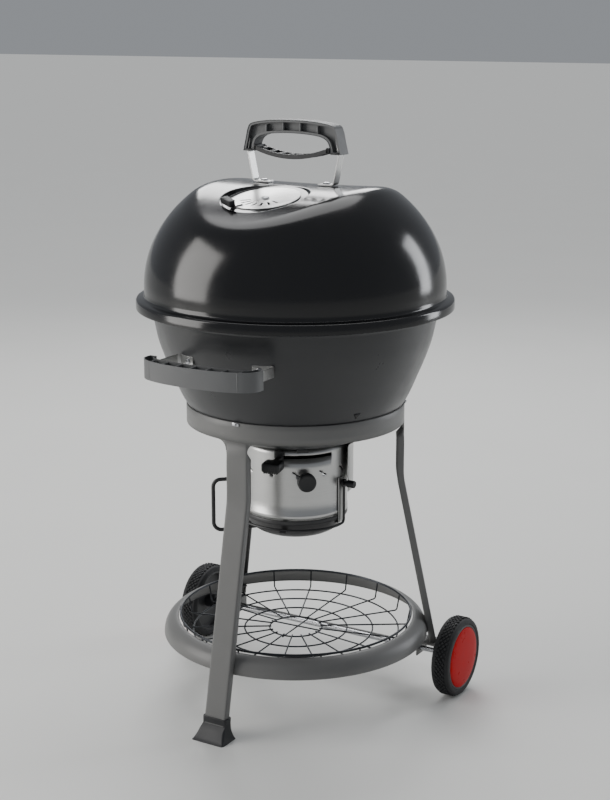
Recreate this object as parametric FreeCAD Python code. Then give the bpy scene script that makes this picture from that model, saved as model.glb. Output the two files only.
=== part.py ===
import FreeCAD, Part
import math
import os

# A kettle charcoal grill on a three-legged stand with two wheels.
# Millimetres. +Z is up, -Y is the front, the origin is on the floor under the kettle's axis.
# Azimuths are degrees from the front, positive towards +X.

# Heights that the rest follow
stand_height = 576.0
bowl_dip = 70.0
bowl_rise = 170.0

# Bowl
bowl_seat_radius = 203.0
bowl_lip_flare = 22.0
bowl_floor_margin = 16.0
bowl_wall = 1.6
bowl_lip_bead = 5.0
bowl_lip_rise = 10.0
port_count = 3
port_angle = 62.0
port_inner = 32.0
port_margin = 10.0

# Lid
lid_lip_radius = 295.0
lid_lip_width = 15.5
lid_lip_drop = 16.0
lid_lip_gap = 7.4
lid_step_rise = 26.0
lid_spring_rise = 22.0
lid_rise = 233.0
lid_top_rise = 185.5
lid_top_arc = 515.0
lid_top_sag = 9.0
lid_wall = 1.6
lid_edge_round = 12.0
vent_y = -103.0
vent_pad_radius = 80.0
vent_pad_depth = 6.5
vent_slits = 7
vent_slit_pitch = 20.0
vent_slit_width = 4.0
vent_slit_inner = 28.0
vent_slit_outer = 45.0
vent_stem = 3.0
damper_radius = 63.5
damper_thick = 1.2
damper_tab_turn = -34.0

# Lid handle
lid_bolt_x = 66.0
bolt_shank = 3.0
strap_foot_x = 86.0
strap_lift = 0.4
strap_width = 20.0
strap_thick = 2.5
grip_half = 103.0
grip_lift = 57.5
grip_height = 59.0
grip_depth = 30.0
grip_thick = 24.0
guard_reach = 77.0
guard_sag = 15.0
guard_thick = 8.0
guard_depth = 34.0

# Bowl handle
handle_half = 117.0
handle_stand_off = 86.0
handle_drop = 78.0
handle_height = 35.0
handle_thick = 28.0
handle_end_gap = 32.0
handle_arm = 14.0
handle_wall = 3.5
handle_ribs = 6

# Stand
band_wall = 2.2
band_height = 36.0
stub_drop = 22.0
stub_round = 20.0
leg_width = 45.0
leg_depth = 15.5
leg_wall = 2.0
leg_bend_drop = 131.2
leg_bend_radius = 150.0
leg_splay_deg = 11.56
leg_count = 3
foot_height = 40.0
foot_length = 71.0
foot_depth = 48.0
foot_lead = 4.0
foot_sole = 8.0
foot_rim = 3.0
shelf_bite = 2.38
shelf_width = 28.0
shelf_bottom = 117.0
shelf_depth = 32.5
shelf_wall = 1.5

# Wheels
wheel_radius = 77.0
wheel_width = 36.0
wheel_stand_off = 77.25
tyre_depth = 14.0
rim_depth = 4.0
axle_lead = 16.22
axle_radius = 5.0
stay_radius = 4.0
bracket_half = 20.0
bracket_wall = 2.5
rear_azimuth = 120.0
rear_leg_lift = 16.0

# Ash catcher
drum_radius = 98.5
drum_length = 128.0
drum_drop = 12.0
drum_neck_inset = 10.5
drum_wall = 1.2
drum_hem = 10.0
drum_slits = 12
drum_slit_length = 18.0
drum_slit_rise = 90.0
slot_from = 10.0
slot_to = 74.0
slot_height = 6.0
shell_gap = 11.5
shell_rise = 41.0
shell_from = 95.0
shell_wall = 1.5
shell_flare = 14.0
knob_azimuth = 41.0
knob_rise = 81.0
knob_radius = 17.5
lever_azimuth = 14.0
lever_drop = 17.0
lever_thick = 3.0
lever_width = 10.0
lever_stand_off = 29.5
lever_knob_width = 36.0
lever_knob_height = 20.0
lever_upright_width = 18.0
lever_knob_length = 34.0
shaft_radius = 5.0
pan_overlap = 74.0
pan_depth = 124.0
pan_dish = 40.0
pan_wall = 1.4
pan_bead = 2.7
pivot_drop = 13.0
pivot_stem = 4.0
ear_gap = 1.8
ear_thick = 2.0
ear_width = 22.0
bail_gap = 3.7
bail_drop = 77.0
bail_wire = 2.6
grab_azimuth = -60.0
grab_stand_off = 59.5
grab_rise = -2.0
grab_length = 106.0
grab_wire = 4.0

# Grates and basket
grate_wire = 2.5
grate_pitch = 22.0
coal_rise = 58.0
coal_room = 5.4
coal_wire = 3.0
cook_drop = 13.0
cook_room = 3.36
basket_wire = 1.6
basket_wires = 18
basket_phase = 3.0
basket_inner = 51.0
basket_hoops = 4
basket_inset = 4.0
basket_floor_inset = 24.0
basket_bend = 12.0

# Fits
running_gap = 0.05
seat_gap = 0.3
pan_gap = 0.5
loose_gap = 1.0

# Sizes that follow from the ones above

# heights
bowl_seat_height = stand_height
bowl_floor_height = bowl_seat_height - bowl_dip
bowl_mouth_height = bowl_seat_height + bowl_rise
lid_step_height = bowl_mouth_height + lid_step_rise
lid_spring_height = lid_step_height + lid_spring_rise
lid_top_height = lid_spring_height + lid_top_rise
grip_low = lid_top_height + grip_lift
grip_top = grip_low + grip_height
handle_low = bowl_mouth_height - handle_drop
handle_high = handle_low + handle_height
band_bottom = bowl_seat_height - band_height
leg_top = band_bottom - stub_drop
leg_bend_height = bowl_seat_height - leg_bend_drop
shelf_top = shelf_bottom + shelf_depth
drum_shoulder = bowl_floor_height - drum_drop
drum_bottom = drum_shoulder - drum_length
slit_height = drum_bottom + drum_slit_rise
shell_low = drum_bottom + shell_rise
knob_height = drum_bottom + knob_rise
lever_height = bowl_floor_height - lever_drop
pan_rim_height = drum_bottom + pan_overlap
pan_bottom = pan_rim_height - pan_depth
pan_shoulder = pan_bottom + pan_dish
pivot_height = pan_rim_height - pivot_drop
bail_height = pivot_height - bail_drop
grab_low = pan_bottom + grab_rise
grab_high = grab_low + grab_length
coal_height = bowl_seat_height + coal_rise
cook_height = bowl_mouth_height - cook_drop

# radii and reaches
lid_radius = lid_lip_radius - lid_lip_width
bowl_lip_radius = lid_lip_radius - lid_wall - lid_lip_gap
bowl_mouth_radius = bowl_lip_radius - bowl_lip_flare
band_radius = bowl_seat_radius + seat_gap + band_wall
handle_face = bowl_mouth_radius + handle_stand_off
handle_end = bowl_mouth_radius + handle_end_gap
rim_radius = wheel_radius - tyre_depth
cap_radius = rim_radius - rim_depth
drum_neck = drum_radius - drum_neck_inset
port_outer = drum_neck - port_margin
bowl_floor_radius = drum_neck + bowl_floor_margin
shell_radius = drum_radius + shell_gap
pan_radius = drum_radius - drum_wall - pan_gap
pan_bead_radius = pan_radius + pan_bead
ear_x = drum_radius + ear_gap
bail_radius = ear_x + ear_thick + bail_gap
grab_reach = drum_radius + grab_stand_off
lever_reach = drum_radius + lever_stand_off

# angles
leg_splay = math.radians(leg_splay_deg)
vent_tilt = math.degrees(math.asin(-vent_y / lid_top_arc))
rear_leg_end = wheel_radius + rear_leg_lift

def vec(x, y, z):
    return FreeCAD.Vector(x, y, z)


UP = vec(0, 0, 1)
RIGHT = vec(1, 0, 0)
ORIGIN = vec(0, 0, 0)
FULL = 360.0


def save(name, shape):
    shape.exportStep(os.path.join("parts", name + ".step"))


def turned(shape, degrees, centre=ORIGIN, axis=UP):
    copy = shape.copy()
    copy.rotate(centre, axis, degrees)
    return copy


def moved(shape, x, y, z):
    copy = shape.copy()
    copy.translate(vec(x, y, z))
    return copy


def with_mirror(shape):
    return Part.makeCompound([shape, shape.mirror(ORIGIN, RIGHT)])


def around(shape, count, start=0.0):
    return Part.makeCompound([turned(shape, start + i * FULL / count) for i in range(count)])


def box(x0, x1, y0, y1, z0, z1):
    return Part.makeBox(x1 - x0, y1 - y0, z1 - z0, vec(x0, y0, z0))


def rod_x(radius, x0, x1, y, z):
    return Part.makeCylinder(radius, x1 - x0, vec(x0, y, z), RIGHT)


def post(radius, low, high, x=0.0, y=0.0):
    return Part.makeCylinder(radius, high - low, vec(x, y, low))


def ring(inner, outer, low, high):
    return post(outer, low, high).cut(post(inner, low, high))


def slice_of(from_deg, to_deg, reach, low, high):
    pie = Part.makeCylinder(reach, high - low, vec(0, 0, low), UP, to_deg - from_deg)
    return turned(pie, from_deg - 90.0)


def line(a, b):
    return Part.makeLine(vec(a[0], 0, a[1]), vec(b[0], 0, b[1]))


def chain(points):
    return [line(a, b) for a, b in zip(points, points[1:])]


def curve(points):
    spline = Part.BSplineCurve()
    spline.interpolate([vec(x, 0, z) for x, z in points])
    return spline.toShape()


def arc(a, b, c):
    return Part.Arc(vec(a[0], 0, a[1]), vec(b[0], 0, b[1]), vec(c[0], 0, c[1])).toShape()


def face_of(edges):
    return Part.Face(Part.Wire(edges))


def spun(edges):
    # A closed outline in the XZ plane, revolved about the vertical axis.
    return face_of(edges).revolve(ORIGIN, UP, FULL)


def slab(edges, y0, y1):
    # A closed outline in the XZ plane, extruded from y0 to y1.
    return moved(face_of(edges), 0, y0, 0).extrude(vec(0, y1 - y0, 0))


def shifted_points(points, distance):
    # Each (x, z) point moved square to the outline, to the left of its direction of travel.
    result = []
    for i, (x, z) in enumerate(points):
        before = points[max(i - 1, 0)]
        after = points[min(i + 1, len(points) - 1)]
        run = math.hypot(after[0] - before[0], after[1] - before[1])
        side = (-(after[1] - before[1]) / run, (after[0] - before[0]) / run)
        result.append((x + side[0] * distance, z + side[1] * distance))
    return result


def bent_path(points, bend):
    # Straight runs through the points, with a tangent arc at each corner.
    edges = []
    start = points[0]
    for before, corner, after in zip(points, points[1:], points[2:]):
        back = (before - corner).normalize()
        on = (after - corner).normalize()
        half = back.getAngle(on) / 2
        first = corner + back * (bend / math.tan(half))
        last = corner + on * (bend / math.tan(half))
        centre = corner + (back + on).normalize() * (bend / math.sin(half))
        middle = centre + (corner - centre).normalize() * bend
        edges.append(Part.makeLine(start, first))
        edges.append(Part.Arc(first, middle, last).toShape())
        start = last
    edges.append(Part.makeLine(start, points[-1]))
    return Part.Wire(edges)


def swept(path, radius, start, direction):
    section = Part.Wire(Part.makeCircle(radius, start, direction))
    return path.makePipeShell([section], True, False)


def rod(points, radius, bend):
    return swept(bent_path(points, bend), radius, points[0], points[1] - points[0])


def bolt(head_radius, head_height, shank_radius, length):
    # Domed head above z = 0 and shank below it.
    crown = Part.makeSphere(head_radius * 1.25, vec(0, 0, head_height - head_radius * 1.25))
    head = post(head_radius, 0, head_height).common(crown)
    return head.fuse(post(shank_radius, -length, 0))


# Stand


def leg_line(inset, end_height):
    # The leg's side line at a depth behind its outer face, as (radius, z) points.
    centre = (band_radius + leg_bend_radius, leg_bend_height)
    swing = leg_bend_radius + inset
    points = [(band_radius - inset, leg_top), (band_radius - inset, leg_bend_height)]
    for angle in (leg_splay / 2, leg_splay):
        points.append((centre[0] - swing * math.cos(angle), centre[1] - swing * math.sin(angle)))
    low = points[-1]
    points.append((low[0] + (low[1] - end_height) * math.tan(leg_splay), end_height))
    return points


def leg_radius(inset, height):
    return leg_line(inset, height)[-1][0]


def leg_block(outer, inner, end_height, width):
    a = leg_line(outer, end_height)
    b = leg_line(inner, end_height)
    edges = [line(a[0], a[1]), arc(a[1], a[2], a[3]), line(a[3], a[4]), line(a[4], b[4])]
    edges += [line(b[4], b[3]), arc(b[3], b[2], b[1]), line(b[1], b[0]), line(b[0], a[0])]
    return turned(slab(edges, -width / 2, width / 2), -90.0)


def make_leg(end_height):
    body = leg_block(0, leg_depth, end_height, leg_width)
    longs = [e for e in body.Edges if e.Length > leg_depth * 1.5 and e.BoundBox.ZLength > leg_depth]
    face = [e for e in longs if leg_radius(leg_depth / 2, e.CenterOfMass.z) < -e.CenterOfMass.y]
    body = body.makeFillet(3.0, face)
    hollow = leg_block(leg_wall, leg_depth + loose_gap, end_height, leg_width - 2 * leg_wall)
    room = post(shelf_radius + seat_gap, shelf_bottom - 3, shelf_top + 3)
    return body.cut(hollow).cut(room)


def make_band():
    # The ring the bowl sits in, with a filleted stub above each leg.
    shell = ring(band_radius - band_wall, band_radius, leg_top, bowl_seat_height)
    half = leg_width / 2
    reach = band_radius + leg_depth
    keep = box(-reach, reach, -reach, reach, band_bottom, bowl_seat_height)
    low = band_bottom - stub_round
    for i in range(leg_count):
        web = box(-half - stub_round, half + stub_round, -reach, 0, leg_top, band_bottom)
        for x in (-half - stub_round, half + stub_round):
            web = web.cut(Part.makeCylinder(stub_round, reach, vec(x, -reach, low), vec(0, 1, 0)))
            web = web.cut(box(x - stub_round, x + stub_round, -reach, 0, leg_top, low))
        keep = keep.fuse(turned(web, i * FULL / leg_count))
    return shell.common(keep)


def make_foot():
    bottom_y = -leg_radius(leg_depth / 2, 0) - foot_lead
    top_y = -leg_radius(leg_depth / 2, foot_height)
    half_x = foot_length / 2
    half_y = foot_depth / 2
    base = box(-half_x, half_x, bottom_y - half_y, bottom_y + half_y, -1, 0)
    half_x = leg_width / 2 + foot_rim
    half_y = leg_depth / 2 + foot_rim
    top = box(-half_x, half_x, top_y - half_y, top_y + half_y, foot_height, foot_height + 1)
    wires = [max(base.Faces, key=lambda f: f.CenterOfMass.z).OuterWire]
    wires.append(min(top.Faces, key=lambda f: f.CenterOfMass.z).OuterWire)
    body = Part.makeLoft(wires, True, True)
    body = body.makeFillet(5.0, [e for e in body.Edges if e.BoundBox.ZLength > foot_height / 2])
    return body.cut(leg_block(0, leg_depth, foot_sole, leg_width))


def make_shelf_ring():
    run = shelf_radius - shelf_rim_radius
    drop = shelf_top - shelf_bottom
    outer = quarter(run, drop)
    inner = quarter(run - shelf_wall, drop - shelf_wall)
    return spun([curve(outer), line(outer[-1], inner[-1]), curve(inner[::-1]), line(inner[0], outer[0])])


def quarter(run, drop):
    angles = [math.pi / 8 * k for k in range(5)]
    return [(shelf_rim_radius + run * math.cos(a), shelf_bottom + drop * math.sin(a)) for a in angles]


def make_ring_brackets():
    half = leg_width / 2 - leg_wall - loose_gap
    reach = leg_radius(leg_wall, shelf_bottom)
    tab = box(-half, half, -reach, -shelf_radius + 9, shelf_bottom - 2, shelf_bottom)
    return around(tab, leg_count)


def bracket_centre():
    angle = math.radians(rear_azimuth)
    radius = leg_radius(leg_depth / 2, rear_leg_end)
    return radius * math.sin(angle), -radius * math.cos(angle)


def make_axle_brackets():
    x, y = bracket_centre()
    wide = bracket_half
    thick = bracket_wall
    front = axle_y - 12
    back = y + 14
    outer = box(x - wide, x + wide, front, back, wheel_radius - 13, rear_leg_end)
    inner = box(x - wide + thick, x + wide - thick, front, back, wheel_radius - 13, rear_leg_end - thick)
    bore = rod_x(axle_radius, x - 2 * wide, x + 2 * wide, axle_y, wheel_radius)
    return with_mirror(outer.cut(inner).cut(bore))


def make_axle():
    reach = wheel_outer_x - 4
    return rod_x(axle_radius, -reach, reach, axle_y, wheel_radius)


def make_axle_stay():
    reach = bracket_centre()[0] - bracket_half
    return rod_x(stay_radius, -reach, reach, axle_y + 12, wheel_radius)


def axle_ring(radius, x0, x1):
    solid = rod_x(radius, x0, x1, axle_y, wheel_radius)
    return with_mirror(solid.cut(rod_x(axle_radius, x0, x1, axle_y, wheel_radius)))


# Wheels, for the +X side; z = 0 of each outline is the wheel's outer face


def on_axle(shape):
    return moved(turned(shape, 90.0, ORIGIN, vec(0, 1, 0)), wheel_outer_x, axle_y, wheel_radius)


def make_tyre():
    round_off = 5.0
    low = -wheel_width
    side = [(rim_radius, -1), (rim_radius + 2, 0), (wheel_radius - round_off, 0), (wheel_radius, -round_off)]
    back = [(wheel_radius, low + round_off), (wheel_radius - round_off, low), (rim_radius + 2, low), (rim_radius, low + 1)]
    points = side + back
    return on_axle(spun(chain(points + points[:1])))


def make_hub():
    middle = -wheel_width / 2
    bore = axle_radius + running_gap
    rim = ring(cap_radius, rim_radius, -wheel_width + 1, -1)
    disc = ring(bore, cap_radius + 1, middle - 2, middle + 2)
    tube = ring(bore, axle_radius + 9, -wheel_width - 6, -8)
    return on_axle(rim.fuse(disc).fuse(tube))


def make_cap():
    rise = 2.0
    points = [(0, rise), (cap_radius * 0.6, rise * 0.7), (cap_radius, -1.5)]
    base = -3.0
    return on_axle(spun([curve(points)] + chain([points[-1], (cap_radius, base), (0, base), points[0]])))


# Bowl


def bowl_points():
    seat = bowl_seat_radius
    flare = bowl_mouth_radius - seat
    rise = bowl_mouth_height - bowl_seat_height
    dip = bowl_seat_height - bowl_floor_height
    low = [(bowl_floor_radius, bowl_floor_height)]
    low.append((bowl_floor_radius + 0.5 * (seat - bowl_floor_radius), bowl_floor_height + 0.27 * dip))
    upper = [(0, 0), (0.475, 0.355), (0.81, 0.67), (0.94, 0.87), (1, 1)]
    return low + [(seat + flare * a, bowl_seat_height + rise * b) for a, b in upper]


def bowl_radius_at(height):
    level = line((0, height), (bowl_lip_radius * 2, height))
    return curve(bowl_points()).distToShape(level)[1][0][0].x


def make_bowl():
    points = bowl_points()
    inner = shifted_points(points, bowl_wall)
    lip = bowl_lip_radius
    top = lid_step_height - seat_gap
    bead = bowl_lip_bead
    neck = bowl_mouth_height + bowl_lip_rise
    rim = [points[-1], (lip - 3, neck), (lip, neck + 4), (lip, top), (lip - bead, top), (lip - bead, neck + 4), inner[-1]]
    top_of_floor = bowl_floor_height + bowl_wall
    base = [inner[0], (bowl_floor_radius - 3, top_of_floor), (0, top_of_floor), (0, bowl_floor_height), points[0]]
    body = spun([curve(points)] + chain(rim) + [curve(inner[::-1])] + chain(base))
    for i in range(port_count):
        port = ring(port_inner, port_outer, bowl_floor_height - 1, top_of_floor + 1)
        pie = slice_of(-port_angle / 2, port_angle / 2, port_outer * 2, bowl_floor_height - 2, top_of_floor + 2)
        body = body.cut(turned(port.common(pie), i * FULL / port_count))
    return body.cut(post(shaft_radius + running_gap, bowl_floor_height - 1, top_of_floor + 1))


def make_seam_tabs():
    middle = bowl_seat_height - 3.5
    plate = box(-7, 7, -band_radius - 1.5, -band_radius + 0.1, middle - 3, middle + 3)
    head = Part.makeCylinder(2.5, 2.5, vec(0, -band_radius - 1.4, middle), vec(0, -1, 0))
    hole = post(band_radius, middle - 10, middle + 10)
    return around(plate.fuse(head).cut(hole), leg_count)


def make_bowl_plug():
    height = bowl_seat_height + 14
    radius = bowl_radius_at(height)
    plug = Part.makeCone(8.5, 6.5, 3.0, vec(0, -radius + 1, height), vec(0, -1, 0))
    return turned(plug.cut(bowl_filled()), 62.0)


def bowl_filled():
    points = bowl_points()
    mouth = bowl_mouth_height
    return spun([curve(points)] + chain([points[-1], (0, mouth), (0, bowl_floor_height), points[0]]))


def bowl_hollow(height):
    # The bowl's inside, up to a height.
    inner = shifted_points(bowl_points(), bowl_wall)
    top = inner[-1][1]
    solid = spun([curve(inner)] + chain([inner[-1], (0, top), (0, inner[0][1]), inner[0]]))
    return solid.common(post(bowl_lip_radius, bowl_floor_height, height))


def make_grate_tabs(height, radius, count, start):
    tab = box(-9, 9, -bowl_lip_radius, -radius + 9, height - 2, height)
    return around(tab.common(bowl_hollow(height)), count, start)


def bow_face(inset):
    # The bowl handle in plan, as a face at z = 0.
    half = handle_half - inset
    inside = handle_half - handle_arm + inset
    front = -handle_face + inset
    back = -handle_face + handle_thick - inset
    end = -handle_end - inset
    bow = 15.0
    dip = 5.0
    corners = [vec(half, front + bow, 0), vec(half, end, 0), vec(inside, end, 0), vec(inside, back + dip, 0)]
    others = [vec(-v.x, v.y, 0) for v in corners[::-1]]
    edges = [Part.Arc(others[-1], vec(0, front, 0), corners[0]).toShape()]
    edges += [Part.makeLine(a, b) for a, b in zip(corners, corners[1:])]
    edges.append(Part.Arc(corners[-1], vec(0, back, 0), others[0]).toShape())
    edges += [Part.makeLine(a, b) for a, b in zip(others, others[1:])]
    return face_of(edges)


def make_bowl_handle():
    height = handle_high - handle_low
    body = moved(bow_face(0).extrude(vec(0, 0, height)), 0, 0, handle_low)
    corners = [e for e in body.Edges if e.BoundBox.ZLength > height / 2 and e.BoundBox.YMin < -handle_face + 20]
    body = body.makeFillet(7.0, corners)
    floor = 5.0
    cavity = moved(bow_face(handle_wall).extrude(vec(0, 0, height)), 0, 0, handle_low + floor)
    gap = 2 * handle_half / (handle_ribs + 1)
    for i in range(handle_ribs):
        x = -handle_half + gap * (i + 1)
        cavity = cavity.cut(box(x - 1.5, x + 1.5, -handle_face, -handle_end, handle_low, handle_high - 2))
    return body.cut(cavity)


def bowl_sheath(low, high, near, far):
    # A conical sheet that follows the bowl's outside between two heights.
    a = bowl_radius_at(low)
    b = bowl_radius_at(high)
    rise = high - low
    start = vec(0, 0, low)
    return Part.makeCone(a + far, b + far, rise, start).cut(Part.makeCone(a + near, b + near, rise, start))


def make_handle_brackets():
    low = handle_low + 8
    high = handle_high - 7
    thick = 2.0
    outer = handle_half - handle_arm
    arm = box(outer - thick, outer, -handle_end - 20, 0, low, high)
    wall = math.degrees(math.asin(outer / bowl_radius_at((low + high) / 2)))
    foot = bowl_sheath(low, high, seat_gap, seat_gap + thick).common(slice_of(wall - 9, wall, bowl_lip_radius, low, high))
    bracket = arm.common(box(0, handle_half, -handle_face, -bowl_radius_at(high) * 0.85, low, high))
    bracket = bracket.cut(Part.makeCone(bowl_radius_at(low) + seat_gap, bowl_radius_at(high) + seat_gap, high - low, vec(0, 0, low)))
    return with_mirror(bracket.fuse(foot))


def make_handle_bolts():
    # One screw through each grip end into its bracket, one through each bracket foot into the bowl.
    middle = (handle_low + handle_high) / 2
    inner = handle_half - handle_arm
    side = turned(bolt(5.0, 3.0, 2.5, 1.0), -90.0, ORIGIN, vec(0, 1, 0))
    side = moved(side, inner - 3.0, -handle_end - 8, middle)
    angle = math.degrees(math.asin(inner / bowl_radius_at(middle))) - 5
    radius = bowl_radius_at(middle) + seat_gap + 2.0
    head = moved(turned(bolt(5.5, 3.5, 2.5, 1.0), 90.0, ORIGIN, RIGHT), 0, -radius, middle)
    head = turned(head, angle).cut(bowl_filled()).cut(make_handle_brackets())
    return with_mirror(Part.makeCompound([side, max(head.Solids, key=lambda solid: solid.Volume)]))


# Lid


def lid_body(inset):
    # The dome cut by the saddle-shaped top, as a solid, a distance inside the outer face.
    radius = lid_radius - inset
    rise = lid_rise - inset
    spring = lid_spring_height
    ends = sorted([vec(radius, 0, spring), vec(0, 0, spring + rise)], key=lambda v: -v.distanceToPoint(vec(0, 0, spring)))
    ellipse = Part.Ellipse(ends[0], ends[1], vec(0, 0, spring))
    crown = Part.ArcOfEllipse(ellipse, 0, math.pi / 2).toShape()
    foot = lid_step_height + 10
    dome = spun([crown] + chain([(0, spring + rise), (0, foot), (radius, foot), (radius, spring)]))
    top = lid_top_height - inset
    base = lid_top_height - lid_top_arc
    reach = lid_lip_radius
    arch = [arc((-reach, top + lid_top_sag), (0, top), (reach, top + lid_top_sag))]
    arch += chain([(reach, top + lid_top_sag), (reach, base), (-reach, base), (-reach, top + lid_top_sag)])
    saddle = face_of(arch).revolve(vec(0, 0, base), RIGHT, FULL)
    body = dome.common(turned(saddle, FULL / 2, vec(0, 0, base), RIGHT))
    crest = [e for e in body.Edges if e.BoundBox.ZMin > spring + rise * 0.4 and e.BoundBox.YLength > radius]
    return body.makeFillet(lid_edge_round - inset, crest)


def on_vent(shape):
    # Places a part built about +Z on the vent pad's floor.
    tilted = turned(shape, vent_tilt, ORIGIN, RIGHT)
    angle = math.radians(vent_tilt)
    reach = lid_top_arc - vent_pad_depth
    base = lid_top_height - lid_top_arc
    return moved(tilted, 0, -reach * math.sin(angle), base + reach * math.cos(angle))


def slit_cutter():
    half = vent_slit_width / 2
    slit = box(-half, half, -vent_slit_outer, -vent_slit_inner, -10, 10)
    middle = (vent_slits - 1) / 2
    return [turned(slit, (i - middle) * vent_slit_pitch) for i in range(vent_slits)]


def make_lid():
    height = 40.0
    outer = lid_body(0).cut(on_vent(post(vent_pad_radius, 0, height)))
    inner = lid_body(lid_wall).cut(on_vent(post(vent_pad_radius + lid_wall, -lid_wall, height)))
    shell = outer.cut(inner)
    step = lid_step_height
    lip = lid_lip_radius
    hem = step - lid_lip_drop
    inside = lid_radius - lid_wall
    flange = [(lid_radius, step + 10), (lid_radius + 2.5, step + 4.5), (lip - 2, step + 3), (lip, step + 1)]
    flange += [(lip, hem), (lip - lid_wall, hem), (lip - lid_wall, step), (inside, step), (inside, step + 10)]
    shell = shell.fuse(spun(chain(flange + flange[:1])))
    for slit in slit_cutter():
        shell = shell.cut(on_vent(slit))
    shell = shell.cut(on_vent(post(vent_stem, -10, 10)))
    for x in (-lid_bolt_x, lid_bolt_x):
        shell = shell.cut(post(bolt_shank, lid_top_height - 20, lid_top_height + 20, x, 0))
    return shell


def make_damper_disc():
    disc = post(damper_radius, seat_gap, seat_gap + damper_thick)
    for slit in slit_cutter():
        disc = disc.cut(slit)
    return on_vent(disc.cut(post(vent_stem + running_gap, -10, 10)))


def make_damper_rivet():
    # The pivot's stem fills the lid's hole; its head sits just over the disc.
    low = -lid_wall
    over = 2 * seat_gap + damper_thick
    head = post(7.0, over, over + 2.5)
    foot = post(7.0, low - 2, low)
    return on_vent(head.fuse(post(vent_stem, low, over)).fuse(foot))


def make_damper_tab():
    low = seat_gap + damper_thick
    plate = box(-9, 9, -64, -48, low, low + 1.5)
    rise = box(-9, 9, -65.5, -64, low, low + 9)
    return on_vent(turned(plate.fuse(rise), damper_tab_turn))


def make_damper_grip():
    low = seat_gap + damper_thick + 3
    grip = box(-20, 20, -78, -65.5, low, low + 12)
    grip = grip.makeFillet(2.0, [e for e in grip.Edges if e.BoundBox.ZLength > 8])
    for i in range(5):
        x = -16.0 + 8.0 * i
        grip = grip.cut(box(x - 1.2, x + 1.2, -80, -76.8, low, low + 12))
    return on_vent(turned(grip, damper_tab_turn))


def strap_outline(gap):
    # The right strap's side line, grown by a gap on every side: foot, bend, rising leg.
    inner = 52.0
    foot = lid_top_height + strap_lift
    reach = strap_foot_x
    knee = (reach + 13, grip_low)
    head = (reach + 8, grip_low + 22)
    outer = [(inner - gap, foot - gap), (reach + gap, foot - gap), (knee[0] + gap, knee[1]), (head[0] + gap, head[1] + gap)]
    thick = strap_thick
    back = [(head[0] - thick - gap, head[1] + gap), (knee[0] - thick - gap, knee[1]), (reach - thick - gap, foot + thick + gap)]
    points = outer + back + [(inner - gap, foot + thick + gap)]
    return chain(points + points[:1])


def make_straps():
    half = strap_width / 2
    strap = slab(strap_outline(0), -half, half).cut(lid_body(0))
    knee = [e for e in strap.Edges if e.BoundBox.YLength > half and e.BoundBox.ZMax < lid_top_height + 6 and e.BoundBox.XMin > 70]
    strap = strap.makeFillet(1.0, knee[:1])
    return with_mirror(strap.cut(post(bolt_shank, lid_top_height - 20, lid_top_height + 20, lid_bolt_x, 0)))


def make_lid_bolts():
    top = lid_top_height + strap_lift + strap_thick
    screw = moved(bolt(7.0, 4.5, bolt_shank, strap_thick + 10), lid_bolt_x, 0, top)
    nut_top = lid_top_height - lid_wall - 0.5
    nut = post(7.5, nut_top - 5, nut_top, lid_bolt_x, 0).cut(post(bolt_shank, nut_top - 5, nut_top, lid_bolt_x, 0))
    return with_mirror(Part.makeCompound([screw, nut]))


def grip_outline(inset):
    half = grip_half - inset
    low = grip_low + inset
    top = grip_top - inset
    outer = [(-half, low), (-half + 6, low + 24), (-half + 17, top - 14), (0, top), (half - 17, top - 14), (half - 6, low + 24), (half, low)]
    thick = grip_thick - 2 * inset
    inner = [(half - thick, low), (half - thick - 2, low + 14), (0, top - thick), (-half + thick + 2, low + 14), (-half + thick, low)]
    return [curve(outer), line(outer[-1], inner[0]), curve(inner), line(inner[-1], outer[0])]


def make_lid_grip():
    half = grip_depth / 2
    body = slab(grip_outline(0), -half, half)
    pocket = slab(grip_outline(4.0), -half - 1, -half + 10)
    for x in (-45.0, -15.0, 15.0, 45.0):
        pocket = pocket.cut(box(x - 1.5, x + 1.5, -half, half, grip_low, grip_top))
    socket = slab(strap_outline(0), -strap_width / 2, strap_width / 2)
    socket = socket.fuse(socket.mirror(ORIGIN, RIGHT))
    return body.cut(pocket).cut(socket)


def make_heat_guard():
    half = guard_depth / 2
    reach = guard_reach
    sag = guard_sag
    low = grip_low + 4
    thick = guard_thick
    edges = [arc((-reach, low), (0, low - sag), (reach, low)), line((reach, low), (reach, low + thick))]
    edges += [arc((reach, low + thick), (0, low + thick - sag), (-reach, low + thick)), line((-reach, low + thick), (-reach, low))]
    bar = slab(edges, -half, half)
    pitch = 24.0
    for i in range(6):
        x = (i - 2.5) * pitch
        bar = bar.cut(box(x - 8.5, x + 8.5, -half + 4, half - 4, low - sag - 5, low + thick + 5))
    return bar


# Ash catcher


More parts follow.
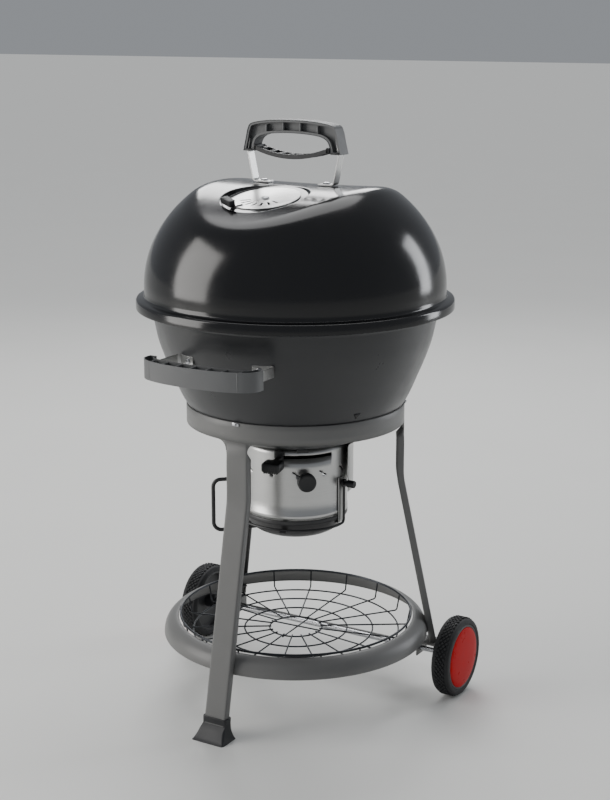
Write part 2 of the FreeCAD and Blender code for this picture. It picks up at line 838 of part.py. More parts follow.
def make_drum():
    hem = drum_hem
    bead = 1.0
    neck = (drum_neck, bowl_floor_height)
    outer = [(drum_radius, drum_bottom), (drum_radius, drum_shoulder)]
    turn = (drum_radius + (drum_neck - drum_radius) * 0.3, drum_shoulder + (neck[1] - drum_shoulder) * 0.7)
    inner_neck = (neck[0] - drum_wall, neck[1])
    inner = drum_radius - drum_wall
    inner_turn = (turn[0] - drum_wall * 0.8, turn[1] - drum_wall * 0.6)
    edges = [line(outer[0], outer[1]), arc(outer[1], turn, neck), line(neck, inner_neck)]
    edges += [arc(inner_neck, inner_turn, (inner, drum_shoulder)), line((inner, drum_shoulder), (inner, drum_bottom))]
    edges.append(line((inner, drum_bottom), outer[0]))
    body = spun(edges).fuse(ring(inner, drum_radius + bead, drum_bottom, drum_bottom + hem))
    half = slot_height / 2
    pie = slice_of(slot_from, slot_to, drum_radius * 2, lever_height - half, lever_height + half)
    body = body.cut(pie.cut(post(drum_neck - 10, lever_height - half, lever_height + half)))
    half = drum_slit_length / 2
    slit = turned(box(-half, half, -drum_radius - 5, -drum_radius + 5, -0.9, 0.9), 32.0, ORIGIN, vec(0, 1, 0))
    for i in range(drum_slits):
        body = body.cut(turned(moved(slit, 0, 0, slit_height), 2.0 + i * FULL / drum_slits))
    return body


def make_rear_shell():
    wall = shell_wall
    bend = bowl_floor_height - 8
    flare = shell_flare
    top = bend + 10
    r = shell_radius
    profile = [(r, shell_low), (r, bend), (r + flare, top), (r + flare - wall, top + 0.5), (r - wall, bend), (r - wall, shell_low)]
    body = spun(chain(profile + profile[:1]))
    body = body.common(slice_of(shell_from, FULL - shell_from, shell_radius * 2, 0, top * 2))
    low = drum_shoulder - 14
    high = drum_shoulder - 8
    rest = box(-6, 6, drum_radius - 1, shell_radius - wall / 2, low, high).cut(post(drum_radius, low - 1, high + 1))
    return body.fuse(rest)


def make_drum_knob():
    stem = Part.makeCylinder(6.0, 18.0, vec(0, -drum_radius + 1, 0), vec(0, -1, 0)).cut(post(drum_radius, -20, 20))
    head = Part.makeCylinder(knob_radius, 14.0, vec(0, -drum_radius - 16, 0), vec(0, -1, 0))
    head = head.makeFillet(2.5, [e for e in head.Edges if e.BoundBox.YLength < 0.01])
    return turned(moved(stem.fuse(head), 0, 0, knob_height), knob_azimuth)


def make_drum_catch():
    body = box(-11, 11, -drum_radius, -drum_neck + 1, drum_shoulder + 2, bowl_floor_height - 1)
    body = turned(body, knob_azimuth - 2).cut(make_drum())
    return max(body.Solids, key=lambda solid: solid.Volume)


def make_shaft():
    low = lever_height - lever_thick / 2
    high = bowl_floor_height + bowl_wall + 12
    collar = ring(shaft_radius, 11.0, bowl_floor_height - 3, bowl_floor_height - seat_gap)
    return post(shaft_radius, low - 6, high).fuse(collar)


def make_blades():
    low = bowl_floor_height + bowl_wall + 0.4
    blade = box(0, port_outer + 14, -14, 14, low, low + 2)
    blade = blade.fuse(box(0, port_outer + 14, 12, 14, low, low + 12))
    blades = blade
    for i in range(1, port_count):
        blades = blades.fuse(turned(blade, i * FULL / port_count))
    hub = post(13.0, low, low + 10)
    return turned(blades.fuse(hub).cut(post(shaft_radius, low - 1, low + 20)), lever_azimuth + 60.0)


def make_lever_arm():
    half = lever_width / 2
    low = lever_height - lever_thick / 2
    arm = box(-half, half, -lever_reach, 0, low, low + lever_thick).fuse(post(12.0, low, low + lever_thick))
    near = drum_radius + 3
    half = lever_upright_width / 2
    arm = arm.fuse(box(-half, half, -near - 4, -near, low, bowl_floor_height - 4))
    return turned(arm.cut(post(shaft_radius, low - 1, low + 5)), lever_azimuth)


def make_lever_knob():
    low = lever_height - 17
    wide = lever_knob_width / 2
    near = -lever_reach + 4
    far = near - lever_knob_length
    knob = box(-wide, wide, far, near, low, low + lever_knob_height)
    knob = knob.makeFillet(5.0, [e for e in knob.Edges if e.BoundBox.ZLength > lever_knob_height / 2])
    for i in range(5):
        x = -12.0 + 6.0 * i
        knob = knob.cut(box(x - 1, x + 1, far - 2, near + 4, low - 1, low + 3))
    half = lever_width / 2
    grip = lever_height - lever_thick / 2
    return turned(knob.cut(box(-half, half, -lever_reach, near + 4, grip, grip + lever_thick)), lever_azimuth)


def pan_points():
    drop = pan_shoulder - pan_bottom
    return [(0, pan_bottom), (0.55 * pan_radius, pan_bottom + 0.12 * drop), (0.86 * pan_radius, pan_bottom + 0.45 * drop),
            (pan_radius, pan_shoulder)]


def pan_filled(grow):
    points = [(0, pan_bottom - grow)] + shifted_points(pan_points(), -grow)[1:]
    high = pan_rim_height
    return spun([curve(points)] + chain([points[-1], (points[-1][0], high), (0, high), points[0]]))


def make_pan():
    wall = pan_wall
    inner = [(0, pan_bottom + wall)] + shifted_points(pan_points(), wall)[1:]
    high = pan_rim_height
    hollow = spun([curve(inner)] + chain([inner[-1], (inner[-1][0], high), (0, high), inner[0]]))
    body = pan_filled(0).cut(hollow)
    return body.fuse(ring(pan_radius - wall, pan_bead_radius, pan_shoulder, drum_bottom - seat_gap * 2))


def make_ears():
    # Side straps that carry the bail's pivots, joined to the pan under its bead.
    half = ear_width / 2
    out = ear_x + ear_thick
    upright = box(ear_x, out, -half, half, pan_shoulder - 6, pivot_height + 12)
    joggle = box(pan_radius - 6, out, -half, half, pan_shoulder - 8, pan_shoulder - 6)
    ear = upright.fuse(joggle).cut(pan_filled(0))
    return with_mirror(ear)


def make_pivot_knobs():
    start = ear_x + ear_thick
    stem = rod_x(pivot_stem, start, start + 14, 0, pivot_height)
    head = rod_x(pivot_stem + 3, start + 11, start + 27, 0, pivot_height)
    head = head.makeFillet(1.5, [e for e in head.Edges if e.BoundBox.XLength < 0.01])
    return with_mirror(stem.fuse(head))


def make_bail_rest():
    # The tab under the pan's front that the bail rests on.
    top = bail_height - bail_wire - seat_gap
    tab = box(-6, 6, -bail_radius - 3, -pan_radius + 12, top - 2, top)
    return turned(tab.cut(pan_filled(0)), 18.0)


def make_pan_grab():
    # The upright D handle, its top end welded to a strap and its bottom end to the pan.
    out = ear_x + ear_thick
    points = [vec(0, -out, grab_high), vec(0, -grab_reach, grab_high - 4), vec(0, -grab_reach, grab_low), vec(0, -pan_radius * 0.62, grab_low + 12)]
    wire = rod(points, grab_wire, 14.0).cut(pan_filled(0))
    return turned(wire.cut(post(out, 0, 600).common(box(-20, 20, -out, 0, grab_high - 20, grab_high + 20))), grab_azimuth)


def make_grab_strap():
    half = 9.0
    out = ear_x + ear_thick
    upright = box(-half, half, -out, -ear_x, pan_shoulder - 6, grab_high + 8)
    joggle = box(-half, half, -out, -pan_radius + 6, pan_shoulder - 8, pan_shoulder - 6)
    return turned(upright.fuse(joggle).cut(pan_filled(0)), grab_azimuth)


def make_bail():
    # Two eyes on the pivots, two upright arms and a half hoop round the front.
    r = bail_radius
    arm_low = bail_height + 14
    right = vec(r, 0, arm_low)
    hoop = [vec(r, 0, pivot_height - 6), right]
    path = [Part.makeLine(hoop[0], hoop[1])]
    path.append(Part.Arc(right, vec(r, -4.1, bail_height + 4.1), vec(r, -14, bail_height)).toShape())
    path.append(Part.Arc(vec(r, -14, bail_height), vec(0, -r, bail_height), vec(-r, -14, bail_height)).toShape())
    path.append(Part.Arc(vec(-r, -14, bail_height), vec(-r, -4.1, bail_height + 4.1), vec(-r, 0, arm_low)).toShape())
    path.append(Part.makeLine(vec(-r, 0, arm_low), vec(-r, 0, pivot_height - 6)))
    wire = swept(Part.Wire(path), bail_wire, hoop[0], vec(0, 0, -1))
    for x in (-r, r):
        eye = rod_x(pivot_stem + 4, x - bail_wire, x + bail_wire, 0, pivot_height)
        wire = wire.fuse(eye.cut(rod_x(pivot_stem + running_gap, x - 9, x + 9, 0, pivot_height)))
    return wire


# Grates and basket


def make_grate(radius, height, wire):
    # A hoop with parallel wires across it.
    hoop = Part.makeTorus(radius, wire, vec(0, 0, height))
    count = int(0.9 * radius / grate_pitch)
    wires = []
    for i in range(-count, count + 1):
        y = i * grate_pitch
        half = math.sqrt(radius * radius - y * y) + 0.3
        wires.append(rod_x(wire * 0.7, -half, half, y, height + 0.4))
    return hoop.multiFuse(wires)


def basket_spokes():
    # The radial wires with their turned-up ends, in one compound.
    wire = basket_wire
    level = shelf_bottom + basket_lap
    outer = basket_radius
    points = [vec(0, -basket_inner + 3, level), vec(0, -outer + 7, level), vec(0, -outer - 0.6, basket_rim_height)]
    return around(rod(points, wire * 0.95, 5.0), basket_wires, basket_phase)


def basket_core():
    return post(basket_radius - basket_bend, 0, shelf_top * 2)


def make_basket():
    # Hoops, the flat runs of the radial wires and a cross, welded into a disc.
    wire = basket_wire
    step = (basket_radius - basket_floor_inset - basket_inner) / (basket_hoops - 1)
    hoops = [Part.makeTorus(basket_inner + i * step, wire, vec(0, 0, shelf_bottom)) for i in range(basket_hoops)]
    half = basket_inner + 3
    cross = rod_x(wire, -half, half, 0, shelf_bottom + basket_lap)
    lower_cross = turned(rod_x(wire, -half, half, 0, shelf_bottom - basket_lap), 90.0)
    spokes = basket_spokes().common(basket_core()).Solids
    return hoops[0].multiFuse(hoops[1:] + spokes + [turned(c, basket_phase) for c in (cross, lower_cross)])


def make_basket_rim():
    # The rim hoop that sits on the shelf ring and the turned-up ends of the radial wires.
    hoop = Part.makeTorus(basket_radius, basket_wire * 1.5, vec(0, 0, basket_rim_height))
    return hoop.multiFuse(basket_spokes().cut(basket_core()).Solids)


# Sizes that need the shapes above
shelf_radius = leg_radius(leg_depth, shelf_bottom) + shelf_bite
shelf_rim_radius = shelf_radius - shelf_width
basket_radius = shelf_rim_radius - basket_inset
basket_lap = basket_wire * 1.2
basket_rim_height = shelf_top + basket_wire * 1.5 + seat_gap
axle_y = bracket_centre()[1] - axle_lead
wheel_outer_x = bracket_centre()[0] + wheel_stand_off
coal_radius = bowl_radius_at(coal_height) - bowl_wall - coal_room
cook_radius = bowl_radius_at(cook_height) - bowl_wall - cook_room

os.makedirs("parts", exist_ok=True)
foot_leg = make_leg(foot_sole)
rear_leg = make_leg(rear_leg_end)
save("band", make_band())
save("leg_front", foot_leg)
save("leg_right", turned(rear_leg, rear_azimuth))
save("leg_left", turned(rear_leg, -rear_azimuth))
save("foot", make_foot())
save("shelf_ring", make_shelf_ring())
save("ring_brackets", make_ring_brackets())
save("axle_brackets", make_axle_brackets())
save("axle", make_axle())
save("axle_stay", make_axle_stay())
save("axle_collars", axle_ring(axle_radius + 4, wheel_outer_x - wheel_width - 12, wheel_outer_x - wheel_width - 6 - seat_gap))
save("axle_clips", axle_ring(axle_radius + 3, wheel_outer_x - 8 + seat_gap, wheel_outer_x - 6))
save("bowl", make_bowl())
save("seam_tabs", make_seam_tabs())
save("bowl_plug", make_bowl_plug())
save("bowl_handle", make_bowl_handle())
save("handle_brackets", make_handle_brackets())
save("handle_bolts", make_handle_bolts())
save("coal_grate", make_grate(coal_radius, coal_height, coal_wire))
save("coal_tabs", make_grate_tabs(coal_height - coal_wire, coal_radius, 4, 45.0))
save("cook_tabs", make_grate_tabs(cook_height - grate_wire, cook_radius, 4, 45.0))
save("cook_grate", make_grate(cook_radius, cook_height, grate_wire))
save("drum", make_drum())
save("rear_shell", make_rear_shell())
save("drum_knob", make_drum_knob())
save("drum_catch", make_drum_catch())
save("lid", make_lid())
save("lid_straps", make_straps())
save("lid_bolts", make_lid_bolts())
save("lid_grip", make_lid_grip())
save("heat_guard", make_heat_guard())
save("damper_rivet", make_damper_rivet())
save("damper_disc", make_damper_disc())
save("damper_tab", make_damper_tab())
save("damper_grip", make_damper_grip())
save("sweep_shaft", make_shaft())
save("sweep_blades", make_blades())
save("lever_arm", make_lever_arm())
save("lever_knob", make_lever_knob())
save("ash_pan", make_pan())
save("pan_ears", make_ears())
save("pivot_knobs", make_pivot_knobs())
save("bail_rest", make_bail_rest())
save("pan_grab", make_pan_grab())
save("grab_strap", make_grab_strap())
save("bail", make_bail())
save("basket", make_basket())
save("basket_rim", make_basket_rim())
for side in ("right", "left"):
    for name, shape in (("tyre", make_tyre()), ("hub", make_hub()), ("cap", make_cap())):
        save(side + "_" + name, shape if side == "right" else shape.mirror(ORIGIN, RIGHT))
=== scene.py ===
"""Kettle charcoal grill: the looks of its pieces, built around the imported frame."""

import math

import bmesh
import bpy
from mathutils import Matrix, Vector
from mathutils.geometry import interpolate_bezier


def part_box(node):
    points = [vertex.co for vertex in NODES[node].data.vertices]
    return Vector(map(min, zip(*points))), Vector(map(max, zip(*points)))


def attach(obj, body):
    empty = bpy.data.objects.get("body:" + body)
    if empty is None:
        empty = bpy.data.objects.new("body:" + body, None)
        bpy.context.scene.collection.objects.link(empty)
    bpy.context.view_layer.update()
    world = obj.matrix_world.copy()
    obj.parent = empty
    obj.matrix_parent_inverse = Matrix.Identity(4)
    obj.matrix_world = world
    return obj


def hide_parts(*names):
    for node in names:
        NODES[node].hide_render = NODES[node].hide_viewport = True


bl_info = {
    "name": "Kettle charcoal grill",
    "version": (1, 0, 0),
    "blender": (4, 5, 0),
    "location": "View3D > Sidebar > Grill",
    "description": "Builds a kettle charcoal grill piece by piece",
    "category": "Object",
}

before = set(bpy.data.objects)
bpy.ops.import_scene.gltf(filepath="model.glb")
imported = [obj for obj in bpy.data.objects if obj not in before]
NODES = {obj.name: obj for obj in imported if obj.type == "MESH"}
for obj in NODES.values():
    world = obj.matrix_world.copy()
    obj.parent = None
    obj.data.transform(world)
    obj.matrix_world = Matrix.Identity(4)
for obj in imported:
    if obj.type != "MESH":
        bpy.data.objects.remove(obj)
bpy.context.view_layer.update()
MM = 0.001
UP = Vector((0, 0, 1))
FULL_TURN = 360.0
PRESSED_SHEET, STEEL_SHEET = 1.6, 2.0  # walls in mm


def linear(colour):
    """An sRGB hex colour as the linear values that a shader takes."""
    parts = [int(colour[i : i + 2], 16) / 255 for i in (0, 2, 4)]
    return tuple(c / 12.92 if c <= 0.04045 else ((c + 0.055) / 1.055) ** 2.4 for c in parts)


def colour_property(name, description, colour):
    return bpy.props.FloatVectorProperty(
        name=name, description=description, subtype="COLOR", size=3, min=0, max=1, default=linear(colour)
    )


def length_property(name, description, millimetres):
    size = millimetres * MM
    return bpy.props.FloatProperty(name=name, description=description, unit="LENGTH", default=size)


class GrillSizes(bpy.types.PropertyGroup):
    lid_radius: length_property("Lid radius", "Radius of the dome above its lip", 279.5)
    lid_rise: length_property("Lid rise", "Height of the full dome above its spring line", 233)
    lid_spring: length_property("Lid spring line", "Height at which the dome starts to curve in", 794)
    lid_lip: length_property("Lid lip radius", "Outer radius of the rolled lip", 295)
    lid_top: length_property("Saddle height", "Height of the saddle at its middle", 979.5)
    crest_round: length_property("Crest rounding", "How softly the dome turns into the saddle", 11)
    bowl_lip: length_property("Bowl lip radius", "Outer radius of the bowl's upper lip", 286)
    band_radius: length_property("Band radius", "Outer radius of the ring that carries the bowl", 205.5)
    wheel_radius: length_property("Wheel radius", "Radius over the tread", 77)
    drum_radius: length_property("Drum radius", "Outer radius of the ash drum", 98.5)


class GrillColours(bpy.types.PropertyGroup):
    lid: colour_property("Lid enamel", "Gloss enamel of the lid", "0F0F11")
    bowl: colour_property("Bowl enamel", "Satin enamel of the bowl", "2B2C2E")
    stand: colour_property("Stand paint", "Powder coat of the legs and rings", "6A6A69")
    grips: colour_property("Grips", "Moulded nylon of the handles", "606162")
    dark: colour_property("Dark plastic", "Moulded plastic of the guard and the foot", "1F2023")
    black: colour_property("Black plastic", "Moulded plastic of the knobs", "17181A")
    steel: colour_property("Stainless steel", "Brushed sheet of the ash drum", "C4C4C3")
    cap: colour_property("Hub cap", "Glossy cap of the wheels", "B00008")


# Materials


def add(tree, kind, inputs=None, **settings):
    """One node with its settings; an input may be a value or the socket that feeds it."""
    node = tree.nodes.new(kind)
    for key, value in settings.items():
        setattr(node, key, value)
    for key, value in (inputs or {}).items():
        if isinstance(value, bpy.types.NodeSocket):
            tree.links.new(value, node.inputs[key])
        else:
            node.inputs[key].default_value = value
    return node


def shader(name, **values):
    """A new material with its Principled shader's own sockets set."""
    material = bpy.data.materials.new(name)
    material.use_nodes = True
    tree = material.node_tree
    surface = tree.nodes["Principled BSDF"]
    for key, value in values.items():
        surface.inputs[key.replace("_", " ")].default_value = value
    return material, tree, surface


def tinted(colour, factor):
    return tuple(min(c * factor, 1) for c in colour[:3]) + (1,)


def mottle(tree, surface, coords, colour, spread, size_mm, rough, rough_spread):
    """Slow variation of colour and gloss, in patches of about the given size."""
    clouds = {"Vector": coords, "Scale": 1000 / size_mm, "Detail": 4, "Roughness": 0.6}
    cloud = add(tree, "ShaderNodeTexNoise", clouds)
    ramp = add(tree, "ShaderNodeMix", {"Factor": cloud.outputs["Fac"]}, data_type="RGBA")
    ramp.inputs["A"].default_value = tinted(colour, 1 - spread)
    ramp.inputs["B"].default_value = tinted(colour, 1 + spread)
    tree.links.new(ramp.outputs["Result"], surface.inputs["Base Color"])
    span = add(tree, "ShaderNodeMapRange", {"Value": cloud.outputs["Fac"], "From Min": 0.3, "From Max": 0.7})
    span.inputs["To Min"].default_value = max(rough - rough_spread, 0.02)
    span.inputs["To Max"].default_value = rough + rough_spread
    tree.links.new(span.outputs["Result"], surface.inputs["Roughness"])


def object_coords(tree):
    return add(tree, "ShaderNodeTexCoord").outputs["Object"]


def bumped(tree, surface, height, depth_mm, strength=1.0):
    bump = add(tree, "ShaderNodeBump", {"Height": height, "Distance": depth_mm * MM, "Strength": strength})
    tree.links.new(bump.outputs["Normal"], surface.inputs["Normal"])


def grained(name, colour, patches, gloss, grain, **values):
    """A finish with slow patches and a fine surface grain.

    patches is (colour spread, size in mm), gloss is (roughness, spread) and grain is
    (size in mm, detail, noise roughness, depth in mm, strength).
    """
    material, tree, surface = shader(name, **values)
    coords = object_coords(tree)
    mottle(tree, surface, coords, colour, *patches, *gloss)
    size, detail, rough, depth, strength = grain
    fine = {"Vector": coords, "Scale": 1000 / size, "Detail": detail, "Roughness": rough}
    bumped(tree, surface, add(tree, "ShaderNodeTexNoise", fine).outputs["Fac"], depth, strength)
    return material


def brushed_stainless(name, colour, rough, around=True):
    """Brushed stainless: fine lines drawn at 0.8 mm, running round the axis or along X."""
    material, tree, surface = shader(name, Metallic=1.0, Anisotropic=0.4)
    coords = object_coords(tree)
    stretch = (12, 12, 1200) if around else (12, 1200, 1200)
    lined = add(tree, "ShaderNodeMapping", {"Vector": coords, "Scale": stretch})
    streaks = {"Vector": lined.outputs["Vector"], "Scale": 1.0, "Detail": 5, "Roughness": 0.7}
    lines = add(tree, "ShaderNodeTexNoise", streaks)
    tone = add(tree, "ShaderNodeMix", {"Factor": lines.outputs["Fac"]}, data_type="RGBA")
    tone.inputs["A"].default_value = tinted(colour, 0.8)
    tone.inputs["B"].default_value = tinted(colour, 1.12)
    tree.links.new(tone.outputs["Result"], surface.inputs["Base Color"])
    gloss = {"Value": lines.outputs["Fac"], "To Min": rough - 0.07, "To Max": rough + 0.1}
    span = add(tree, "ShaderNodeMapRange", gloss)
    tree.links.new(span.outputs["Result"], surface.inputs["Roughness"])
    bumped(tree, surface, lines.outputs["Fac"], 0.05, 0.35)
    return material


def moulded_plastic(name, colour, rough):
    """Glass-filled nylon from a spark-eroded mould: matt grain drawn at 1.3 mm."""
    material, tree, surface = shader(name, IOR=1.53)
    coords = object_coords(tree)
    mottle(tree, surface, coords, colour, 0.06, 30, rough, 0.05)
    grain = add(tree, "ShaderNodeTexVoronoi", {"Vector": coords, "Scale": 1000 / 1.3}, feature="SMOOTH_F1")
    bumped(tree, surface, grain.outputs["Distance"], 0.08, 0.5)
    return material


FINISHES = {}


def make_finishes():
    """One material for each finish, in the colours that the panel shows."""
    c = bpy.context.scene.grill_colours
    clouds, peel = (0.12, 60), (6, 2, 0.5, 0.06, 0.5)
    patches, pebbles = (0.07, 45), (1.6, 3, 0.65, 0.12, 0.6)
    marks, pits = (0.15, 20), (1.2, 2, 0.5, 0.04, 0.4)
    zinc, wire, pan, rubber = (linear(colour) for colour in ("B9BABD", "3E4043", "3A3A3B", "1D1E20"))
    low = {"IOR": 1.48, "Specular_IOR_Level": 0.06}
    FINISHES.update(
        # Vitreous enamel on pressed steel: deep gloss over a faint orange peel of 6 mm.
        enamel_black=grained("gloss_porcelain_enamel", c.lid, clouds, (0.16, 0.032), peel, IOR=1.52),
        enamel_grey=grained("satin_porcelain_enamel", c.bowl, clouds, (0.34, 0.068), peel, IOR=1.52),
        # Baked powder coat: satin, with a fine pebbled grain drawn at 1.6 mm so that it shows.
        paint_grey=grained("grey_powder_coat", c.stand, patches, (0.42, 0.05), pebbles, IOR=1.5),
        pan_dark=grained("dark_powder_coat", pan, patches, (0.4, 0.05), pebbles, IOR=1.5),
        stainless=brushed_stainless("brushed_stainless_round", c.steel, 0.3),
        stainless_flat=brushed_stainless("brushed_stainless_flat", c.steel, 0.28, around=False),
        # Plated steel: bright, with soft handling marks of 20 mm over fine pits of 1.2 mm.
        steel_zinc=grained("bright_zinc_plate", zinc, marks, (0.3, 0.08), pits, Metallic=1.0),
        wire_steel=grained("plated_welded_wire", wire, marks, (0.34, 0.08), pits, Metallic=1.0),
        wire_black=moulded_plastic("black_coated_wire", linear("1B1B1D"), 0.38),
        plastic_grey=moulded_plastic("grey_moulded_nylon", c.grips, 0.5),
        plastic_dark=moulded_plastic("dark_moulded_nylon", c.dark, 0.48),
        plastic_black=moulded_plastic("black_moulded_nylon", c.black, 0.42),
        # Moulded rubber: matt and dusty, with a faint grain of 2 mm.
        tyre_black=grained(
            "moulded_tyre_rubber", rubber, (0.25, 12), (0.72, 0.08), (2, 3, 0.6, 0.15, 0.6), IOR=1.52
        ),
        # Injection-moulded cap: saturated, with a faint flow mottle of 25 mm and a peel of 5 mm.
        cap_red=grained("gloss_red_abs", c.cap, (0.1, 25), (0.3, 0.05), (5, 2, 0.5, 0.04, 0.4), **low),
    )


# Modelling helpers. Shapes are drawn in millimetres and scaled as they are finished.


def flowing(points, steps=8):
    """A smooth line through the points."""
    line = [Vector(p) for p in points]
    result = []
    for i, (a, b) in enumerate(zip(line, line[1:])):
        before = line[max(i - 1, 0)]
        after = line[min(i + 2, len(line) - 1)]
        result += interpolate_bezier(a, a + (b - before) / 6, b - (after - a) / 6, b, steps + 1)[:-1]
    return result + [line[-1]]


def rounded(points, radius, steps=6):
    """The run of points with an arc-like bend at each inner corner."""
    line = [Vector(p) for p in points]
    result = [line[0]]
    for before, corner, after in zip(line, line[1:], line[2:]):
        back = (before - corner).normalized()
        on = (after - corner).normalized()
        shorter = min((before - corner).length, (after - corner).length)
        reach = min(radius / math.tan(back.angle(on) / 2), shorter * 0.49)
        a = corner + back * reach
        b = corner + on * reach
        result += interpolate_bezier(a, a.lerp(corner, 0.55), b.lerp(corner, 0.55), b, steps + 1)
    return result + [line[-1]]


def line_mesh(bm, points):
    verts = [bm.verts.new(p) for p in points]
    return verts, [bm.edges.new(pair) for pair in zip(verts, verts[1:])]


def shift(bm, result, by):
    """Moves the vertices that an operator has just made."""
    made = [item for item in result["geom"] if isinstance(item, bmesh.types.BMVert)]
    bmesh.ops.translate(bm, verts=made, vec=by)


def everything(bm):
    return bm.faces[:] + bm.edges[:] + bm.verts[:]


def sliced(bm, at, normal):
    """Adds edges where a plane crosses the mesh."""
    bmesh.ops.bisect_plane(bm, geom=everything(bm), plane_co=at, plane_no=normal)


def softened(bm, geom, offset, segments, affect="EDGES", clamp=False):
    """Bevels the given edges or corners round."""
    shape = {"segments": segments, "profile": 0.5, "affect": affect, "material": -1}
    bmesh.ops.bevel(bm, geom=geom, offset=offset, clamp_overlap=clamp, **shape)


def facing(at, normal):
    """The place of a shape drawn on +Z that stands at a point and looks along a normal."""
    return Matrix.Translation(at) @ UP.rotation_difference(Vector(normal)).to_matrix().to_4x4()


def spun(profile, steps=128, start=0.0, angle=FULL_TURN):
    """A bmesh of the (radius, height) profile turned about +Z from an azimuth."""
    bm = bmesh.new()
    verts, edges = line_mesh(bm, [(r, 0, z) for r, z in profile])
    turn = Matrix.Rotation(math.radians(start - 90), 3, "Z")
    bmesh.ops.rotate(bm, verts=verts, cent=(0, 0, 0), matrix=turn)
    bmesh.ops.spin(
        bm,
        geom=verts + edges,
        cent=(0, 0, 0),
        axis=UP,
        angle=math.radians(angle),
        steps=steps,
        use_merge=angle >= FULL_TURN,
    )
    bmesh.ops.remove_doubles(bm, verts=bm.verts, dist=0.001)
    bmesh.ops.recalc_face_normals(bm, faces=bm.faces)
    return bm


def placed(bm, matrix):
    bmesh.ops.transform(bm, matrix=matrix, verts=bm.verts)
    return bm


def joined(parts):
    """Several bmeshes as one."""
    whole = bmesh.new()
    for part in parts:
        mesh = bpy.data.meshes.new("part")
        part.to_mesh(mesh)
        part.free()
        whole.from_mesh(mesh)
        bpy.data.meshes.remove(mesh)
    return whole


def copied(bm, matrix):
    return placed(bm.copy(), matrix)


def mirrored(bm):
    twin = copied(bm, Matrix.Scale(-1, 4, Vector((1, 0, 0))))
    bmesh.ops.reverse_faces(twin, faces=twin.faces)
    return twin


def both_sides(bm):
    return joined([bm, mirrored(bm)])


def spoke(azimuth):
    return Matrix.Rotation(math.radians(azimuth), 4, "Z")


def all_round(bm, count):
    parts = [copied(bm, spoke(FULL_TURN / count * i)) for i in range(count)]
    bm.free()
    return joined(parts)


def block(low, high, bevel=0.0, segments=2):
    """A box between two corners with bevelled edges."""
    bm = bmesh.new()
    bmesh.ops.create_cube(bm, size=1)
    low, high = Vector(low), Vector(high)
    bmesh.ops.scale(bm, verts=bm.verts, vec=high - low)
    bmesh.ops.translate(bm, verts=bm.verts, vec=(low + high) / 2)
    if bevel:
        softened(bm, bm.edges[:], bevel, segments, clamp=True)
    return bm


def extruded(outline, direction):
    """A closed outline raised along a direction into a solid."""
    bm = bmesh.new()
    face = bm.faces.new([bm.verts.new(p) for p in outline])
    raised = bmesh.ops.extrude_face_region(bm, geom=[face])
    shift(bm, raised, direction)
    bmesh.ops.recalc_face_normals(bm, faces=bm.faces)
    return bm


def band_between(outer, inner, direction):
    """The band between two lines of as many points, raised along a direction; also its first side's faces."""
    bm = bmesh.new()
    edges = line_mesh(bm, outer)[1] + line_mesh(bm, inner)[1]
    faces = bmesh.ops.bridge_loops(bm, edges=edges)["faces"]
    raised = bmesh.ops.extrude_face_region(bm, geom=faces, use_keep_orig=True)
    shift(bm, raised, direction)
    bmesh.ops.recalc_face_normals(bm, faces=bm.faces)
    return bm, faces


def strip(path, across, thick):
    """A sheet-metal strap along a path, given its width and wall."""
    bm = bmesh.new()
    edges = line_mesh(bm, [p - Vector(across) / 2 for p in path])[1]
    raised = bmesh.ops.extrude_edge_only(bm, edges=edges)
    shift(bm, raised, across)
    bmesh.ops.recalc_face_normals(bm, faces=bm.faces)
    bmesh.ops.solidify(bm, geom=everything(bm), thickness=thick)
    return bm


def tube(runs, radius, resolution=4):
    """Round wire along runs of points; a run is (points, closed)."""
    curve = bpy.data.curves.new("wire", "CURVE")
    curve.dimensions = "3D"
    curve.bevel_depth = radius
    curve.bevel_resolution = resolution
    curve.use_fill_caps = True
    for points, closed in runs:
        spline = curve.splines.new("POLY")
        spline.points.add(len(points) - 1)
        for target, point in zip(spline.points, points):
            target.co = (*point, 1)
        spline.use_cyclic_u = closed
    holder = bpy.data.objects.new("wire", curve)
    bpy.context.scene.collection.objects.link(holder)
    mesh = bpy.data.meshes.new_from_object(holder.evaluated_get(bpy.context.evaluated_depsgraph_get()))
    bm = bmesh.new()
    bm.from_mesh(mesh)
    bpy.data.objects.remove(holder)
    bpy.data.curves.remove(curve)
    bpy.data.meshes.remove(mesh)
    return bm


def circle(radius, height, steps=96):
    angles = (math.tau * i / steps for i in range(steps))
    return [Vector((radius * math.cos(a), radius * math.sin(a), height)) for a in angles]


def screw_head(radius, height, at, normal):
    """A low domed screw head standing on a surface."""
    low, high = height * 0.45, height * 0.85
    profile = [(radius, 0), (radius, low), (radius * 0.8, high), (radius * 0.45, height), (0, height)]
    return placed(spun(profile, 24), facing(at, normal))


def cut_slot(bm, centre, along, across, length, width, reach):
    """Opens a straight slot in a sheet by slicing its faces on four planes."""
    centre, along, across = Vector(centre), Vector(along), Vector(across)
    for direction, half in ((along, length / 2), (across, width / 2)):
        for side in (-1, 1):
            near = [f for f in bm.faces if (f.calc_center_median() - centre).length < reach]
            geom = near + list({e for f in near for e in f.edges}) + list({v for f in near for v in f.verts})
            at = centre + direction * side * half
            bmesh.ops.bisect_plane(bm, geom=geom, plane_co=at, plane_no=direction * side)
    gone = []
    for face in bm.faces:
        offset = face.calc_center_median() - centre
        within = abs(offset.dot(along)) < length / 2 and abs(offset.dot(across)) < width / 2
        if within and offset.length < reach:
            gone.append(face)
    bmesh.ops.delete(bm, geom=gone, context="FACES")


